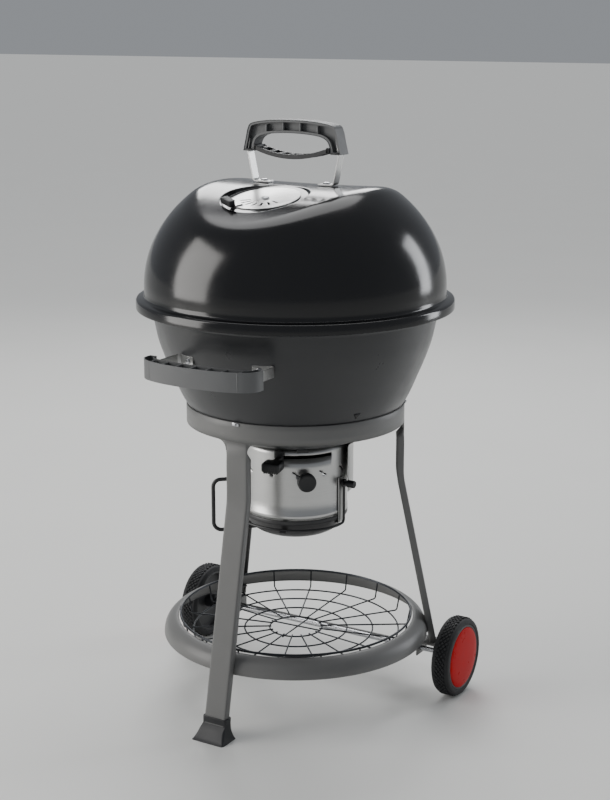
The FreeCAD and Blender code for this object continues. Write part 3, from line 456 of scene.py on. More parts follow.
def piece(name, bm, finish, body, *nodes, wall=0.0, bevel=0.0, angle=35.0):
    """Finishes a bmesh as a named piece that rides on a body and stands for its CAD nodes."""
    bmesh.ops.remove_doubles(bm, verts=bm.verts, dist=0.002)
    bmesh.ops.scale(bm, verts=bm.verts, vec=(MM, MM, MM))
    mesh = bpy.data.meshes.new(name)
    bm.to_mesh(mesh)
    bm.free()
    mesh.shade_smooth()
    mesh.set_sharp_from_angle(angle=math.radians(angle))
    mesh.materials.append(FINISHES[finish])
    obj = bpy.data.objects.new(name, mesh)
    bpy.context.scene.collection.objects.link(obj)
    if wall:
        sheet = obj.modifiers.new("wall", "SOLIDIFY")
        sheet.thickness = wall * MM
        sheet.offset = -1
    if bevel:
        edge = obj.modifiers.new("edges", "BEVEL")
        edge.width = bevel * MM
        edge.segments = 2
        edge.limit_method = "ANGLE"
        edge.angle_limit = math.radians(40)
        edge.harden_normals = True
    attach(obj, body)
    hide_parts(*nodes)


def keep_node(name, finish):
    """A CAD node whose shape is right keeps its mesh and takes a finish."""
    node = NODES[name]
    node.data.materials.clear()
    node.data.materials.append(FINISHES[finish])


# Lid

SADDLE_ARC = 515.0  # radius of the saddle's curve, seen from the side
VENT_DEPTH, VENT_Y = 6.5, -103.0
VENT_SLITS, VENT_STEP, VENT_MIDDLE = 7, 20, 36.5


def vent_frame():
    """Centre, sideways, uphill and normal directions of the vent pad's floor."""
    tilt = math.asin(-VENT_Y / SADDLE_ARC)
    base = bpy.context.scene.grill_sizes.lid_top / MM - SADDLE_ARC
    normal = Vector((0, -math.sin(tilt), math.cos(tilt)))
    centre = Vector((0, 0, base)) + normal * (SADDLE_ARC - VENT_DEPTH)
    return centre, Vector((1, 0, 0)), Vector((0, math.cos(tilt), math.sin(tilt))), normal


def on_vent(bm):
    centre, side, uphill, normal = vent_frame()
    basis = Matrix((side, uphill, normal)).transposed().to_4x4()
    return placed(bm, Matrix.Translation(centre) @ basis)


def soft_min(a, b, blend):
    h = max(blend - abs(a - b), 0) / blend
    return min(a, b) - h * h * blend / 4


def soft_step(value, low, high):
    t = min(max((value - low) / (high - low), 0), 1)
    return t * t * (3 - 2 * t)


def shape_saddle(bm):
    """Presses the dome's top down onto the saddle and the round vent pad."""
    sizes = bpy.context.scene.grill_sizes
    top, sag, reach, lowest = sizes.lid_top / MM, 9.0, 295.0, 850
    blend = sizes.crest_round / MM
    for v in bm.verts:
        if v.co.z > lowest:
            rise = math.sqrt(max((SADDLE_ARC + sag * (v.co.x / reach) ** 2) ** 2 - v.co.y**2, 0))
            v.co.z = soft_min(v.co.z, top - SADDLE_ARC + rise, blend)
    centre, _, _, normal = vent_frame()
    pad, wall_top, around = 75.5, 81.5, 94
    near = [f for f in bm.faces if (f.calc_center_median() - centre).length < around]
    edges = list({e for f in near for e in f.edges})
    bmesh.ops.subdivide_edges(bm, edges=edges, cuts=2, use_grid_fill=True)
    for v in bm.verts:
        offset = v.co - centre
        flat = offset - normal * offset.dot(normal)
        weight = 1 - soft_step(flat.length, pad, wall_top)
        if weight and offset.length < around + 1:
            v.co -= normal * offset.dot(normal) * weight


class BuildLid(bpy.types.Operator):
    """Domed lid with a saddle-shaped top, a rolled lip and a round vent pad"""

    bl_idname = "grill.build_lid"
    bl_label = "Lid"

    def execute(self, context):
        s = context.scene.grill_sizes
        radius, rise, spring, lip = s.lid_radius / MM, s.lid_rise / MM, s.lid_spring / MM, s.lid_lip / MM
        rolled = [(lip - 1.6, 756.2), (lip, 757.0), (lip, 771.0), (lip - 1.2, 773.6), (lip - 3.6, 775.0)]
        rolled += [(radius + 3.6, 776.2), (radius + 1.2, 777.4), (radius, 780.0), (radius, 787.0)]
        steps = 84
        angles = [math.pi / 2 * i / steps for i in range(steps)]
        crown = [(radius * math.cos(a), spring + rise * math.sin(a)) for a in angles]
        bm = spun(rolled + crown + [(0, spring + rise)], 192)
        shape_saddle(bm)
        centre, side, uphill, normal = vent_frame()
        for i in range(VENT_SLITS):
            turn = Matrix.Rotation(math.radians(VENT_STEP * (i - VENT_SLITS // 2)), 3, normal)
            out = turn @ -uphill
            cut_slot(bm, centre + out * VENT_MIDDLE, out, turn @ side, 15.0, 3.0, 22)
        piece("lid_dome", bm, "enamel_black", "lid_body", "lid", wall=PRESSED_SHEET, angle=60)
        return {"FINISHED"}


class BuildDamper(bpy.types.Operator):
    """Vent disc with its slits, rivet, bracket and ribbed grip"""

    bl_idname = "grill.build_damper"
    bl_label = "Vent damper"

    def execute(self, context):
        rings = [(0, 0.3), (24, 0.3), (30, 0.3), (46, 0.3), (58, 0.3), (61.5, 0.5), (63.3, 0.3)]
        disc = spun(rings, 144)
        for i in range(VENT_SLITS):
            turn = Matrix.Rotation(math.radians(VENT_STEP * (i - VENT_SLITS // 2)), 3, "Z")
            out = turn @ Vector((0, -1, 0))
            middle = out * VENT_MIDDLE + Vector((0, 0, 0.3))
            cut_slot(disc, middle, out, turn @ Vector((1, 0, 0)), 16.0, 3.8, 30)
        top = [f for f in disc.faces if f.normal.z < 0]
        bmesh.ops.reverse_faces(disc, faces=top)
        bmesh.ops.translate(disc, verts=disc.verts, vec=(0, 0, 1.2))
        piece("damper_plate", on_vent(disc), "stainless_flat", "damper", "damper_disc", wall=1.2)
        shank = spun([(3, 1.7), (3, -1.7), (7, -1.8), (7, -3.4), (0, -3.4)], 32)
        rivet = on_vent(joined([screw_head(7, 2.6, (0, 0, 1.7), UP), shank]))
        piece("damper_pivot", rivet, "steel_zinc", "lid_body", "damper_rivet")
        turn = spoke(-34)
        path = rounded([(0, -47, 2.1), (0, -65, 2.1), (0, -65.4, 11)], 2.0)
        tab = on_vent(placed(strip(path, Vector((18, 0, 0)), 1.4), turn))
        piece("damper_bracket", tab, "stainless_flat", "damper", "damper_tab", bevel=0.25)
        grip = block((-20, -77.6, 4.8), (20, -65.8, 16.0), 2.2, 3)
        ribs = [block((x - 1.4, -78.0, 5.6), (x + 1.4, -65.0, 16.4), 0.6) for x in range(-16, 17, 4)]
        grip = on_vent(placed(joined([grip] + ribs), turn))
        piece("damper_finger_grip", grip, "plastic_black", "damper", "damper_grip")
        return {"FINISHED"}


def arch(side, top):
    """A smooth arch in the XZ plane from its left foot over to its right, given one side and the top."""
    left = [(-x, 0, z) for x, z in side]
    right = [(x, 0, z) for x, z in side[::-1]]
    return flowing(left + [(0, 0, top)] + right, 5)


class BuildLidHandle(bpy.types.Operator):
    """Steel straps, arched grip with a ribbed recess, and the slatted heat guard"""

    bl_idname = "grill.build_lid_handle"
    bl_label = "Lid handle"

    def execute(self, context):
        foot = 981.3
        path = rounded([(53, 0, foot), (85.5, 0, foot), (97.6, 0, 1037), (92.6, 0, 1060)], 7.0)
        straps = both_sides(strip(path, Vector((0, 20, 0)), 2.4))
        piece("lid_handle_straps", straps, "stainless_flat", "lid_body", "lid_straps", bevel=0.4)
        holes = (-66, 66)
        heads = [screw_head(7, 4.5, (x, 0, 982.4), UP) for x in holes]
        nut = [(3, 0), (7.5, 0), (7.5, 5), (3, 5)]
        nuts = [placed(spun(nut, 6), Matrix.Translation((x, 0, 971.8))) for x in holes]
        piece("lid_handle_bolts", joined(heads + nuts), "steel_zinc", "lid_body", "lid_bolts")
        outer = arch([(103, 1037.2), (97.5, 1060), (93, 1078), (84, 1088.5), (46, 1094.6)], 1096)
        inner = arch([(82, 1037.2), (80, 1050), (74, 1061), (60, 1067.6), (32, 1071)], 1072.2)
        near, far = Vector((0, -14.8, 0)), Vector((0, 29.6, 0))
        grip, front = band_between([p + near for p in outer], [p + near for p in inner], far)
        bmesh.ops.inset_region(grip, faces=front, thickness=1.4, depth=-1.2, use_even_offset=True)
        bmesh.ops.inset_region(grip, faces=front, thickness=3.2, depth=0, use_even_offset=True)
        bmesh.ops.inset_region(grip, faces=front, thickness=0, depth=-9.5, use_even_offset=False)
        ribs = []
        for x in (-54, -18, 18, 54):
            high = 1091 - 0.0016 * x * x
            ribs.append(block((x - 1.3, -13.4, high - 16), (x + 1.3, -2, high), 0.3))
        piece("lid_handle_grip", joined([grip] + ribs), "plastic_grey", "lid_body", "lid_grip", bevel=0.9)
        half, low, bow, depth = 78, 1026, 14.5, 8
        shares = [i / 12 - 1 for i in range(25)]
        lower = [Vector((half * t, 0, low + bow * t * t)) for t in shares]
        upper = [p + Vector((0, 0, depth)) for p in lower]
        rails = []
        for y in (-16.8, 12.8):
            rails.append(extruded([p + Vector((0, y, 0)) for p in upper + lower[::-1]], Vector((0, 4, 0))))
        for t in [(i - 3.5) / 4 for i in range(8)]:
            lean = Matrix.Rotation(-math.atan(2 * bow * t / half), 4, "Y")
            place = Matrix.Translation(((half - 2) * t, 0, low + bow * t * t)) @ lean
            rails.append(placed(block((-2.6, -14, 0.4), (2.6, 14, 7.6), 0.6), place))
        for t in (-1, 1):
            rails.append(block((77 * t - 3.5, -16.8, 1039), (77 * t + 3.5, 16.8, 1049), 1.0))
        piece("lid_heat_guard", joined(rails), "plastic_dark", "lid_body", "heat_guard", bevel=0.5)
        return {"FINISHED"}


# Bowl


def bowl_line():
    seat, mouth, seat_z, mouth_z, floor_r, floor_z = 203.0, 264.0, 576.0, 746.0, 104.0, 506.0
    low = [(floor_r, floor_z), (floor_r + 0.5 * (seat - floor_r), floor_z + 0.27 * (seat_z - floor_z))]
    upper = [(0, 0), (0.475, 0.355), (0.81, 0.67), (0.94, 0.87), (1, 1)]
    line = low + [(seat + (mouth - seat) * a, seat_z + (mouth_z - seat_z) * b) for a, b in upper]
    return [(p.x, p.y) for p in flowing([(r, z, 0) for r, z in line], 10)]


def bowl_radius(height):
    line = bowl_line()
    for (r0, z0), (r1, z1) in zip(line, line[1:]):
        if z0 <= height <= z1:
            return r0 + (r1 - r0) * (height - z0) / (z1 - z0)
    raise ValueError("height outside the bowl")


class BuildBowl(bpy.types.Operator):
    """Pressed bowl with a flared lip and three ash ports in its floor"""

    bl_idname = "grill.build_bowl"
    bl_label = "Bowl"

    def execute(self, context):
        lip = context.scene.grill_sizes.bowl_lip / MM
        floor_z, port_low, port_high, port_half = 506, 32, 78, 30
        floor = [(r, floor_z) for r in (5.1, port_low, port_high, 98)]
        rim = [(266.5, 750.5), (274, 754), (lip - 3, 756.6), (lip - 0.8, 758.4), (lip, 761)]
        rim += [(lip, 769.5), (lip - 0.8, 771.2), (lip - 3, 771.5)]
        bm = spun(floor + bowl_line() + rim, 180)
        gone = []
        for f in bm.faces:
            c = f.calc_center_median()
            azimuth = math.degrees(math.atan2(c.x, -c.y)) % 120
            inside = port_low < c.xy.length < port_high and min(azimuth, 120 - azimuth) < port_half
            if c.z < floor_z + 0.1 and inside:
                gone.append(f)
        bmesh.ops.delete(bm, geom=gone, context="FACES")
        piece("bowl_shell", bm, "enamel_grey", "stand", "bowl", wall=PRESSED_SHEET, angle=50)
        plate = block((-7, -207.2, 569.5), (7, -205.4, 575.5), 0.7)
        tabs = all_round(joined([plate, screw_head(2.5, 2.4, (0, -207, 572.5), (0, -1, 0))]), 3)
        piece("band_clips", tabs, "steel_zinc", "stand", "seam_tabs")
        height = 590.0
        plug = spun([(8.8, -0.6), (8.3, 1.2), (6.6, 2), (0, 2.2)], 3)
        softened(plug, plug.edges[:], 0.9, 2)
        lean = math.atan((bowl_radius(height + 6) - bowl_radius(height - 6)) / 12)
        normal = Vector((0, -math.cos(lean), -math.sin(lean)))
        aim = spoke(62) @ facing((0, -bowl_radius(height), height), normal)
        piece("bowl_side_plug", placed(plug, aim), "plastic_black", "stand", "bowl_plug")
        return {"FINISHED"}


def bow_line(side, middle, height):
    """One edge of the bowl handle in plan, from its left end round to its right."""
    left = [(-x, y, height) for x, y in side]
    right = [(x, y, height) for x, y in side[::-1]]
    return flowing(left + [(0, middle, height)] + right, 5)


class BuildBowlHandle(bpy.types.Operator):
    """Hollow ribbed front grip on two bent steel brackets"""

    bl_idname = "grill.build_bowl_handle"
    bl_label = "Bowl handle"

    def execute(self, context):
        top_z = 702.7
        outer = [(116.8, -296.2), (117, -308), (114.6, -317.6), (107, -327), (92, -336), (56, -345.6)]
        inner = [(103, -296.2), (102.8, -303), (100.6, -307.6), (95, -312), (82, -316.6), (48, -321.6)]
        lines = bow_line(outer, -349.8, top_z), bow_line(inner, -323, top_z)
        grip, top = band_between(*lines, Vector((0, 0, -34.4)))
        bmesh.ops.inset_region(grip, faces=top, thickness=1.7, depth=0, use_even_offset=True)
        sunk = bmesh.ops.extrude_face_region(grip, geom=top, use_keep_orig=True)
        bmesh.ops.delete(grip, geom=top, context="FACES_ONLY")
        shift(grip, sunk, (0, 0, -27))
        ribs = []
        for i in range(7):
            x = (i - 3) * 30.0
            bow = 15 * (x / 117) ** 2
            ribs.append(block((x - 1.4, -348 + bow * 1.25, 672), (x + 1.4, -323.6 + bow * 0.6, 701.6), 0.4))
        piece("bowl_handle_grip", joined([grip] + ribs), "plastic_grey", "stand", "bowl_handle", bevel=1.6)
        middle = 686.0
        wall = bowl_radius(middle) + 1.2
        angle = math.asin(102 / wall)
        angles = [angle - 0.17 + 0.017 * i for i in range(9)]
        feet = [Vector((wall * math.sin(a), -wall * math.cos(a), middle)) for a in angles]
        arm = [Vector((101.6, -318, middle)), Vector((101.6, feet[-1].y - 3.5, middle))]
        brackets = both_sides(strip(rounded(arm + feet[::-1], 3.0, 4), Vector((0, 0, 19)), STEEL_SHEET))
        piece("bowl_handle_brackets", brackets, "stainless_flat", "stand", "handle_brackets", bevel=0.3)
        foot = feet[3]
        normal = Vector((foot.x, foot.y, 0)).normalized()
        outer_head = screw_head(5.5, 3.5, foot + normal * 1.2, normal)
        inner_head = screw_head(5, 3, (99.8, -305, middle), (-1, 0, 0))
        heads = both_sides(joined([outer_head, inner_head]))
        piece("bowl_handle_screws", heads, "steel_zinc", "stand", "handle_bolts")
        return {"FINISHED"}


# Stand

LEG_SPLAY = math.radians(11.56)
LEG_HALF, LEG_CORNER = 22.5, 3.0
BAND_FACE, BAND_LOW = 205.5, 540
STUB_LOW = 521  # below this height the legs are folded


def leg_face(height):
    """Radius of a leg's outer face and the lean of its normal at a height."""
    bend_r, bend_z = 150.0, 444.8
    if height >= bend_z:
        return BAND_FACE, 0.0
    drop = bend_z - height
    if drop < bend_r * math.sin(LEG_SPLAY):
        lean = math.asin(drop / bend_r)
        return BAND_FACE + bend_r * (1 - math.cos(lean)), lean
    end = bend_z - bend_r * math.sin(LEG_SPLAY)
    bent = bend_r * (1 - math.cos(LEG_SPLAY))
    return BAND_FACE + bent + (end - height) * math.tan(LEG_SPLAY), LEG_SPLAY


def leg_pattern(end_height):
    """A leg's flat pattern in the XZ plane: the stub under the band, the face and its two flanges."""
    right = [(64.5, BAND_LOW), (LEG_HALF, BAND_LOW), (LEG_HALF, STUB_LOW), (35.0, 507), (35.0, end_height)]
    outline = [(x, 0, z) for x, z in right] + [(-x, 0, z) for x, z in right[::-1]]
    bm = bmesh.new()
    verts = [bm.verts.new(p) for p in outline]
    bm.faces.new(verts)
    corners = [v for v in verts if abs(abs(v.co.x) - LEG_HALF) < 0.1 and v.co.z > STUB_LOW + 9]
    softened(bm, corners, 18, 8, "VERTICES")
    return bm


def fold_leg(bm):
    """Folds the flat pattern into a channel that follows the leg's bend."""
    levels = [514, 508, 500, 490, 470, 450] + [444.8 - 5 * i for i in range(1, 8)]
    levels += [390, 360, 320, 280, 240, 200, 155, 112, 70, 40]
    for z in levels:
        sliced(bm, (0, 0, z), (0, 0, 1))
    for x in (6, 12, 17, 19.5, 20.8, 22, 23.2, 24.5, 30, 36, 45, 55):
        for side in (-1, 1):
            sliced(bm, (side * x, 0, 0), (1, 0, 0))
    flat = LEG_HALF - LEG_CORNER
    curl = LEG_CORNER * math.pi / 2
    for v in bm.verts:
        u, z = v.co.x, v.co.z
        if z > STUB_LOW:
            angle = u / BAND_FACE
            v.co.x, v.co.y = BAND_FACE * math.sin(angle), -BAND_FACE * math.cos(angle)
            continue
        side = math.copysign(1, u)
        over = abs(u) - flat
        if over <= 0:
            x, inward = u, 0.0
        elif over < curl:
            angle = over / LEG_CORNER
            x, inward = side * (flat + LEG_CORNER * math.sin(angle)), LEG_CORNER * (1 - math.cos(angle))
        else:
            x, inward = side * LEG_HALF, LEG_CORNER + over - curl
        radius, lean = leg_face(z)
        hollow = BAND_FACE - math.sqrt(BAND_FACE**2 - x * x)
        v.co.x = x
        v.co.y = -radius + inward * math.cos(lean) + hollow * soft_step(z, 495, STUB_LOW + 1)
    return bm


class BuildStand(bpy.types.Operator):
    """Band, three folded channel legs, front foot and the shelf ring"""

    bl_idname = "grill.build_stand"
    bl_label = "Stand"

    def execute(self, context):
        band_r = context.scene.grill_sizes.band_radius / MM
        band = spun([(band_r, 540), (band_r, 552), (band_r, 564), (band_r, 574.8), (band_r - 1.0, 576)], 180)
        front = fold_leg(leg_pattern(10))
        rear = fold_leg(leg_pattern(93.2))
        sheets = [("stand_band", band, "band"), ("front_leg", front, "leg_front")]
        sheets += [("right_leg", copied(rear, spoke(120)), "leg_right")]
        sheets += [("left_leg", copied(rear, spoke(-120)), "leg_left")]
        rear.free()
        for name, bm, node in sheets:
            outward(bm)
            piece(name, bm, "paint_grey", "stand", node, wall=STEEL_SHEET, angle=50)
        ring = [(256.0, 117.4), (255.6, 124), (253.2, 132.6), (248.2, 140.4), (241.4, 145.8), (234.4, 148.8)]
        bowed = flowing([(r, z, 0) for r, z in ring + [(228.6, 149.4)]], 4)
        line = [(254.2, 117.0)] + [(p.x, p.y) for p in bowed] + [(227.6, 148.4), (228.0, 146.6)]
        piece("shelf_ring_rim", spun(line, 160), "paint_grey", "stand", "shelf_ring", wall=1.4, angle=60)
        piece("front_foot_cap", foot_cap(), "plastic_dark", "stand", "foot", bevel=1.6)
        for name in ("ring_brackets", "axle_brackets", "axle_stay"):
            keep_node(name, "paint_grey")
        for name in ("axle", "axle_clips", "sweep_shaft", "sweep_blades", "coal_tabs", "cook_tabs"):
            keep_node(name, "steel_zinc")
        keep_node("axle_collars", "plastic_dark")
        return {"FINISHED"}


def outward(bm):
    """Turns the faces of an upright sheet away from the kettle's axis."""
    bmesh.ops.recalc_face_normals(bm, faces=bm.faces)
    if sum(f.normal.xy.dot(f.calc_center_median().xy) * f.calc_area() for f in bm.faces) < 0:
        bmesh.ops.reverse_faces(bm, faces=bm.faces)


def foot_cap():
    """A flared boot on the front leg's end."""
    low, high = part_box("foot")
    low, high = low / MM, high / MM
    y0 = (low.y + high.y) / 2
    half, height, power = 35.2, 40, 2.4
    bm = block((-half, low.y + 0.4, 0), (half, high.y - 0.4, height))
    for level in (4, 8, 13, 20, 29):
        sliced(bm, (0, 0, level), UP)
    for v in bm.verts:
        flare = (1 - v.co.z / height) ** power
        middle = -leg_face(v.co.z)[0] + 7.75
        v.co.x = math.copysign(25.6 + 9.6 * flare, v.co.x)
        v.co.y = middle * (1 - flare) + y0 * flare + math.copysign(10.8 + 12.8 * flare, v.co.y - y0)
    ups = [e for e in bm.edges if abs(e.verts[0].co.z - e.verts[1].co.z) > 2]
    softened(bm, ups, 5, 4)
    cap = max(bm.faces, key=lambda f: f.calc_center_median().z)
    bmesh.ops.inset_region(bm, faces=[cap], thickness=2.6, depth=0)
    cap = max((f for f in bm.faces if f.normal.z > 0.9), key=lambda f: f.calc_area())
    bmesh.ops.inset_region(bm, faces=[cap], thickness=0.1, depth=-6)
    return bm


# Ash catcher


class BuildDrum(bpy.types.Operator):
    """Brushed drum with its lever slot and slanted slits, the rear shell, the front knob and the catch"""

    bl_idname = "grill.build_drum"
    bl_label = "Ash drum"

    def execute(self, context):
        r = context.scene.grill_sizes.drum_radius / MM
        slot_low, slot_high, slit_z = 486, 492, 456
        line = [(r + 0.9, 366.2), (r + 0.9, 374.6), (r + 0.5, 375.8)]
        line += [(r, z) for z in (376.4, 400, 430, 447, slit_z, 465, slot_low, slot_high, 494)]
        line += [(r - 0.7, 497.4), (r - 3.2, 501), (r - 7, 503.8), (r - 10, 505), (r - 10.5, 505.8)]
        bm = spun(line, 360)
        gone = []
        for f in bm.faces:
            c = f.calc_center_median()
            if slot_low < c.z < slot_high and 10 < math.degrees(math.atan2(c.x, -c.y)) < 74:
                gone.append(f)
        bmesh.ops.delete(bm, geom=gone, context="FACES")
        for i in range(12):
            a, slope = math.radians(2 + 30 * i), math.radians(32)
            out, side = Vector((math.sin(a), -math.cos(a), 0)), Vector((math.cos(a), math.sin(a), 0))
            along = side * math.cos(slope) - UP * math.sin(slope)
            across = side * math.sin(slope) + UP * math.cos(slope)
            cut_slot(bm, out * r + UP * slit_z, along, across, 18, 1.8, 14)
        outward(bm)
        piece("drum_sheet", bm, "stainless", "stand", "drum", wall=1.2, angle=50)
        flare = [(111, 498.6), (114, 501.6), (118, 503.6), (124, 507.4)]
        back = spun([(110, z) for z in (408, 430, 460, 494)] + flare, 85, 95, 170)
        outward(back)
        piece("rear_heat_shell", back, "stainless", "stand", "rear_shell", wall=1.3, angle=50)
        line = [(0, 0), (6, 0), (6, 14), (15.5, 14.6), (17.2, 16.4), (17.4, 26), (16.4, 28.6)]
        knob = spun(line + [(14, 29.8), (11.6, 29.4), (0, 29.4)], 64)
        side_faces = [f for f in knob.faces if abs(f.normal.z) < 0.2 and f.calc_center_median().length > 24]
        bmesh.ops.inset_individual(knob, faces=side_faces[::2], thickness=0.15, depth=-0.5)
        aim = spoke(41) @ facing((0, -98.6, 447), (0, -1, 0))
        piece("drum_front_knob", placed(knob, aim), "plastic_black", "stand", "drum_knob")
        catch = block((-11, -98.4, 496.4), (11, -89.2, 504.8), 2.0, 3)
        piece("drum_top_catch", placed(catch, spoke(39)), "plastic_black", "stand", "drum_catch")
        return {"FINISHED"}


class BuildLever(bpy.types.Operator):
    """Sweeper lever: flat arm and ribbed thumb knob"""

    bl_idname = "grill.build_lever"
    bl_label = "Lever"

    def execute(self, context):
        turn = spoke(14)
        washer = spun([(5.1, 487.6), (12, 487.6), (12, 490.4), (5.1, 490.4)], 32)
        flat = block((-4.8, -128, 487.6), (4.8, -6, 490.4), 0.6)
        upright = block((-9, -105.4, 487.6), (9, -101.6, 502), 1.2)
        arm = placed(joined([flat, upright, washer]), turn)
        piece("lever_bar", arm, "wire_black", "sweeper", "lever_arm")
        body = block((-17.8, -157.4, 474), (17.8, -124.4, 491.8), 4.5, 4)
        ribs = [block((x - 1.2, -156, 472.2), (x + 1.2, -126, 477), 0.5) for x in range(-12, 13, 4)]
        cap = [block((x - 1.1, -158, 476), (x + 1.1, -156, 489), 0.5) for x in range(-14, 15, 4)]
        knob = placed(joined([body] + ribs + cap), turn)
        piece("lever_thumb_knob", knob, "plastic_black", "sweeper", "lever_knob")
        return {"FINISHED"}


class BuildPan(bpy.types.Operator):
    """Ash pan with its side straps, pivot knobs, hanging bail and side grab"""

    bl_idname = "grill.build_pan"
    bl_label = "Ash pan"

    def execute(self, context):
        under = flowing([(0, 316, 0), (53.2, 320.8, 0), (83.2, 334, 0), (96.8, 356, 0)], 10)
        line = [(max(p.x, 0), p.y) for p in under] + [(98.8, 356.6), (99.4, 358), (99.4, 363.6), (98.8, 365)]
        line += [(96.8, 365.4), (96.8, 439.4)]
        piece("ash_pan_shell", spun(line, 128), "pan_dark", "pan_body", "ash_pan", wall=1.3, angle=50)
        path = rounded([(92, 0, 349), (101.4, 0, 349), (101.4, 0, 438.6)], 3.0)
        ears = both_sides(strip(path, Vector((0, 22, 0)), 1.8))
        piece("pan_side_straps", ears, "stainless_flat", "pan_body", "pan_ears", bevel=0.3)
        knob = spun([(4, 0), (4, 11), (6.4, 11.2), (7, 12), (7, 25.4), (6.2, 26.6), (4.6, 27), (0, 27)], 32)
        pivot_z = 427
        knobs = both_sides(placed(knob, facing((102.3, 0, pivot_z), (1, 0, 0))))
        piece("bail_pivot_knobs", knobs, "plastic_black", "pan_body", "pivot_knobs")
        r, z = 106.0, 350.0
        angles = [math.pi * i / 48 for i in range(49)]
        hoop = [Vector((r * math.cos(a), -14 - (r - 14) * math.sin(a), z)) for a in angles]
        side = rounded([(r, 0, 420), (r, 0, z), (r, -14.5, z)], 12.0, 8)
        other = [Vector((-p.x, p.y, p.z)) for p in side[::-1]]
        bail = [tube([(side[:-1] + hoop + other[1:], False)], 2.5)]
        for x in (-r, r):
            eye = spun([(4.3, -2.4), (7.8, -2.4), (7.8, 2.4), (4.3, 2.4), (4.3, -2.4)], 32)
            turn = Matrix.Rotation(math.pi / 2, 4, "Y")
            bail.append(placed(eye, Matrix.Translation((x, 0, pivot_z)) @ turn))
        piece("pan_bail", joined(bail), "wire_black", "bail_body", "bail")
        grab = rounded([(0, -102.5, 420), (0, -158, 416), (0, -158, 314), (0, -70, 325)], 15.0, 8)
        grab = placed(tube([(grab, False)], 3.9), spoke(-60))
        piece("pan_side_grab", grab, "wire_black", "pan_body", "pan_grab")
        keep_node("bail_rest", "wire_black")
        keep_node("grab_strap", "pan_dark")
        return {"FINISHED"}


# Shelf, grates and wheels


class BuildWires(bpy.types.Operator):
    """Wire basket and the two grates"""

    bl_idname = "grill.build_wires"
    bl_label = "Basket and grates"

    def execute(self, context):
        floor, radius, rim, cross = 117.0, 224.0, 152.2, 1.9
        hoops = [(circle(r, floor), True) for r in (51, 100, 150, 200)]
        low = floor + cross
        spar = rounded([(0, -48, low), (0, -radius + 6, low), (0, -radius, rim)], 5.0, 5)
        runs = [([spoke(3 + 20 * i) @ p for p in spar], False) for i in range(18)]
        for azimuth, z in ((3, floor + cross), (93, floor - cross)):
            runs.append(([spoke(azimuth) @ Vector((x, 0, z)) for x in (-54, 0, 54)], False))
        body = joined([tube(hoops, 1.6, 3), tube(runs, 1.5, 3), tube([(circle(radius, rim), True)], 2.3, 3)])
        piece("wire_basket", body, "wire_steel", "basket_body", "basket", "basket_rim")
        pitch = 22
        for name, node, body_name, radius, height, wire in (
            ("coal_wires", "coal_grate", "stand", 224.0, 634.0, 3.0),
            ("cooking_wires", "cook_grate", "cook_grate_body", 257.0, 733.0, 2.5),
        ):
            bars = []
            count = int(0.9 * radius / pitch)
            for y in (pitch * i for i in range(-count, count + 1)):
                half = math.sqrt(radius**2 - y**2)
                bars.append(([Vector((x, y, height + 0.4)) for x in (-half, half)], False))
            edge = tube([(circle(radius, height, 120), True)], wire * 0.97)
            grate = joined([edge, tube(bars, wire * 0.68)])
            piece(name, grate, "wire_steel", body_name, node)
        return {"FINISHED"}


def wheel_place(bm, side):
    """From a wheel drawn about +Z, outer face at z = 0, to its place on the axle."""
    bm = placed(bm, Matrix.Translation((308, 117, 77)) @ Matrix.Rotation(math.pi / 2, 4, "Y"))
    if side < 0:
        twin = mirrored(bm)
        bm.free()
        return twin
    return bm


def in_tread(face, r):
    return all(v.co.xy.length > r - 3 and -31 < v.co.z < -5 for v in face.verts)


def make_tread(r, steps):
    """Tyre with raised lozenges round its tread."""
    width, raised = 36, 2.6
    bands = [-5.5, -13.75, -22.0, -30.5]
    side = [(63.2, -1.6), (64.6, -0.3), (67, -0.1), (71.0, -0.7), (73.4, -2.2), (74.2, -3.8)]
    other = [(radius, -width - z) for radius, z in side[::-1]]
    profile = side + [(r - raised, z) for z in bands] + other
    bm = spun(profile + [profile[0]], steps)
    tread = [f for f in bm.faces if in_tread(f, r)]
    inner = {e for f in tread for e in f.edges if all(g in tread for g in e.link_faces)}
    bmesh.ops.poke(bm, faces=tread)
    bmesh.ops.dissolve_edges(bm, edges=list(inner), use_verts=False)
    lozenges = [f for f in bm.faces if len(f.verts) == 4 and in_tread(f, r)]
    bmesh.ops.inset_individual(bm, faces=lozenges, thickness=1.1, depth=0)
    bmesh.ops.inset_individual(bm, faces=lozenges, thickness=0.5, depth=2.5)
    return bm


class BuildWheels(bpy.types.Operator):
    """Two wheels: treaded tyre, hub and domed cap"""

    bl_idname = "grill.build_wheels"
    bl_label = "Wheels"

    def execute(self, context):
        r = context.scene.grill_sizes.wheel_radius / MM
        dome = [(0, 1.9), (20, 1.8), (38, 1.4), (50, 0.7), (56, -0.1), (58.2, -0.8), (58.9, -2)]
        rim = [(59.1, -3), (59.1, -1.4), (59.8, -0.9), (62.2, -0.9), (63, -1.6), (63, -34.4), (62.2, -35)]
        web = [(59.8, -35), (59, -34.2), (59, -20.2), (57.5, -20), (14.2, -20), (13.9, -21), (13.9, -41.2)]
        bore = [(13.2, -41.8), (5.1, -41.8), (5.1, -8.2), (13.9, -8.2), (13.9, -16), (59, -16), (59.1, -3)]
        for side, label in ((1, "right"), (-1, "left")):
            body = "wheel_" + label
            tyre = wheel_place(make_tread(r, 48), side)
            piece(label + "_tyre_rubber", tyre, "tyre_black", body, label + "_tyre")
            hub = wheel_place(spun(rim + web + bore, 72), side)
            piece(label + "_wheel_hub", hub, "plastic_dark", body, label + "_hub", bevel=0.3)
            cap = wheel_place(spun(dome + [(58.9, -2.9), (0, -2.9)], 96), side)
            piece(label + "_hub_cap", cap, "cap_red", body, label + "_cap")
        return {"FINISHED"}


# Stage


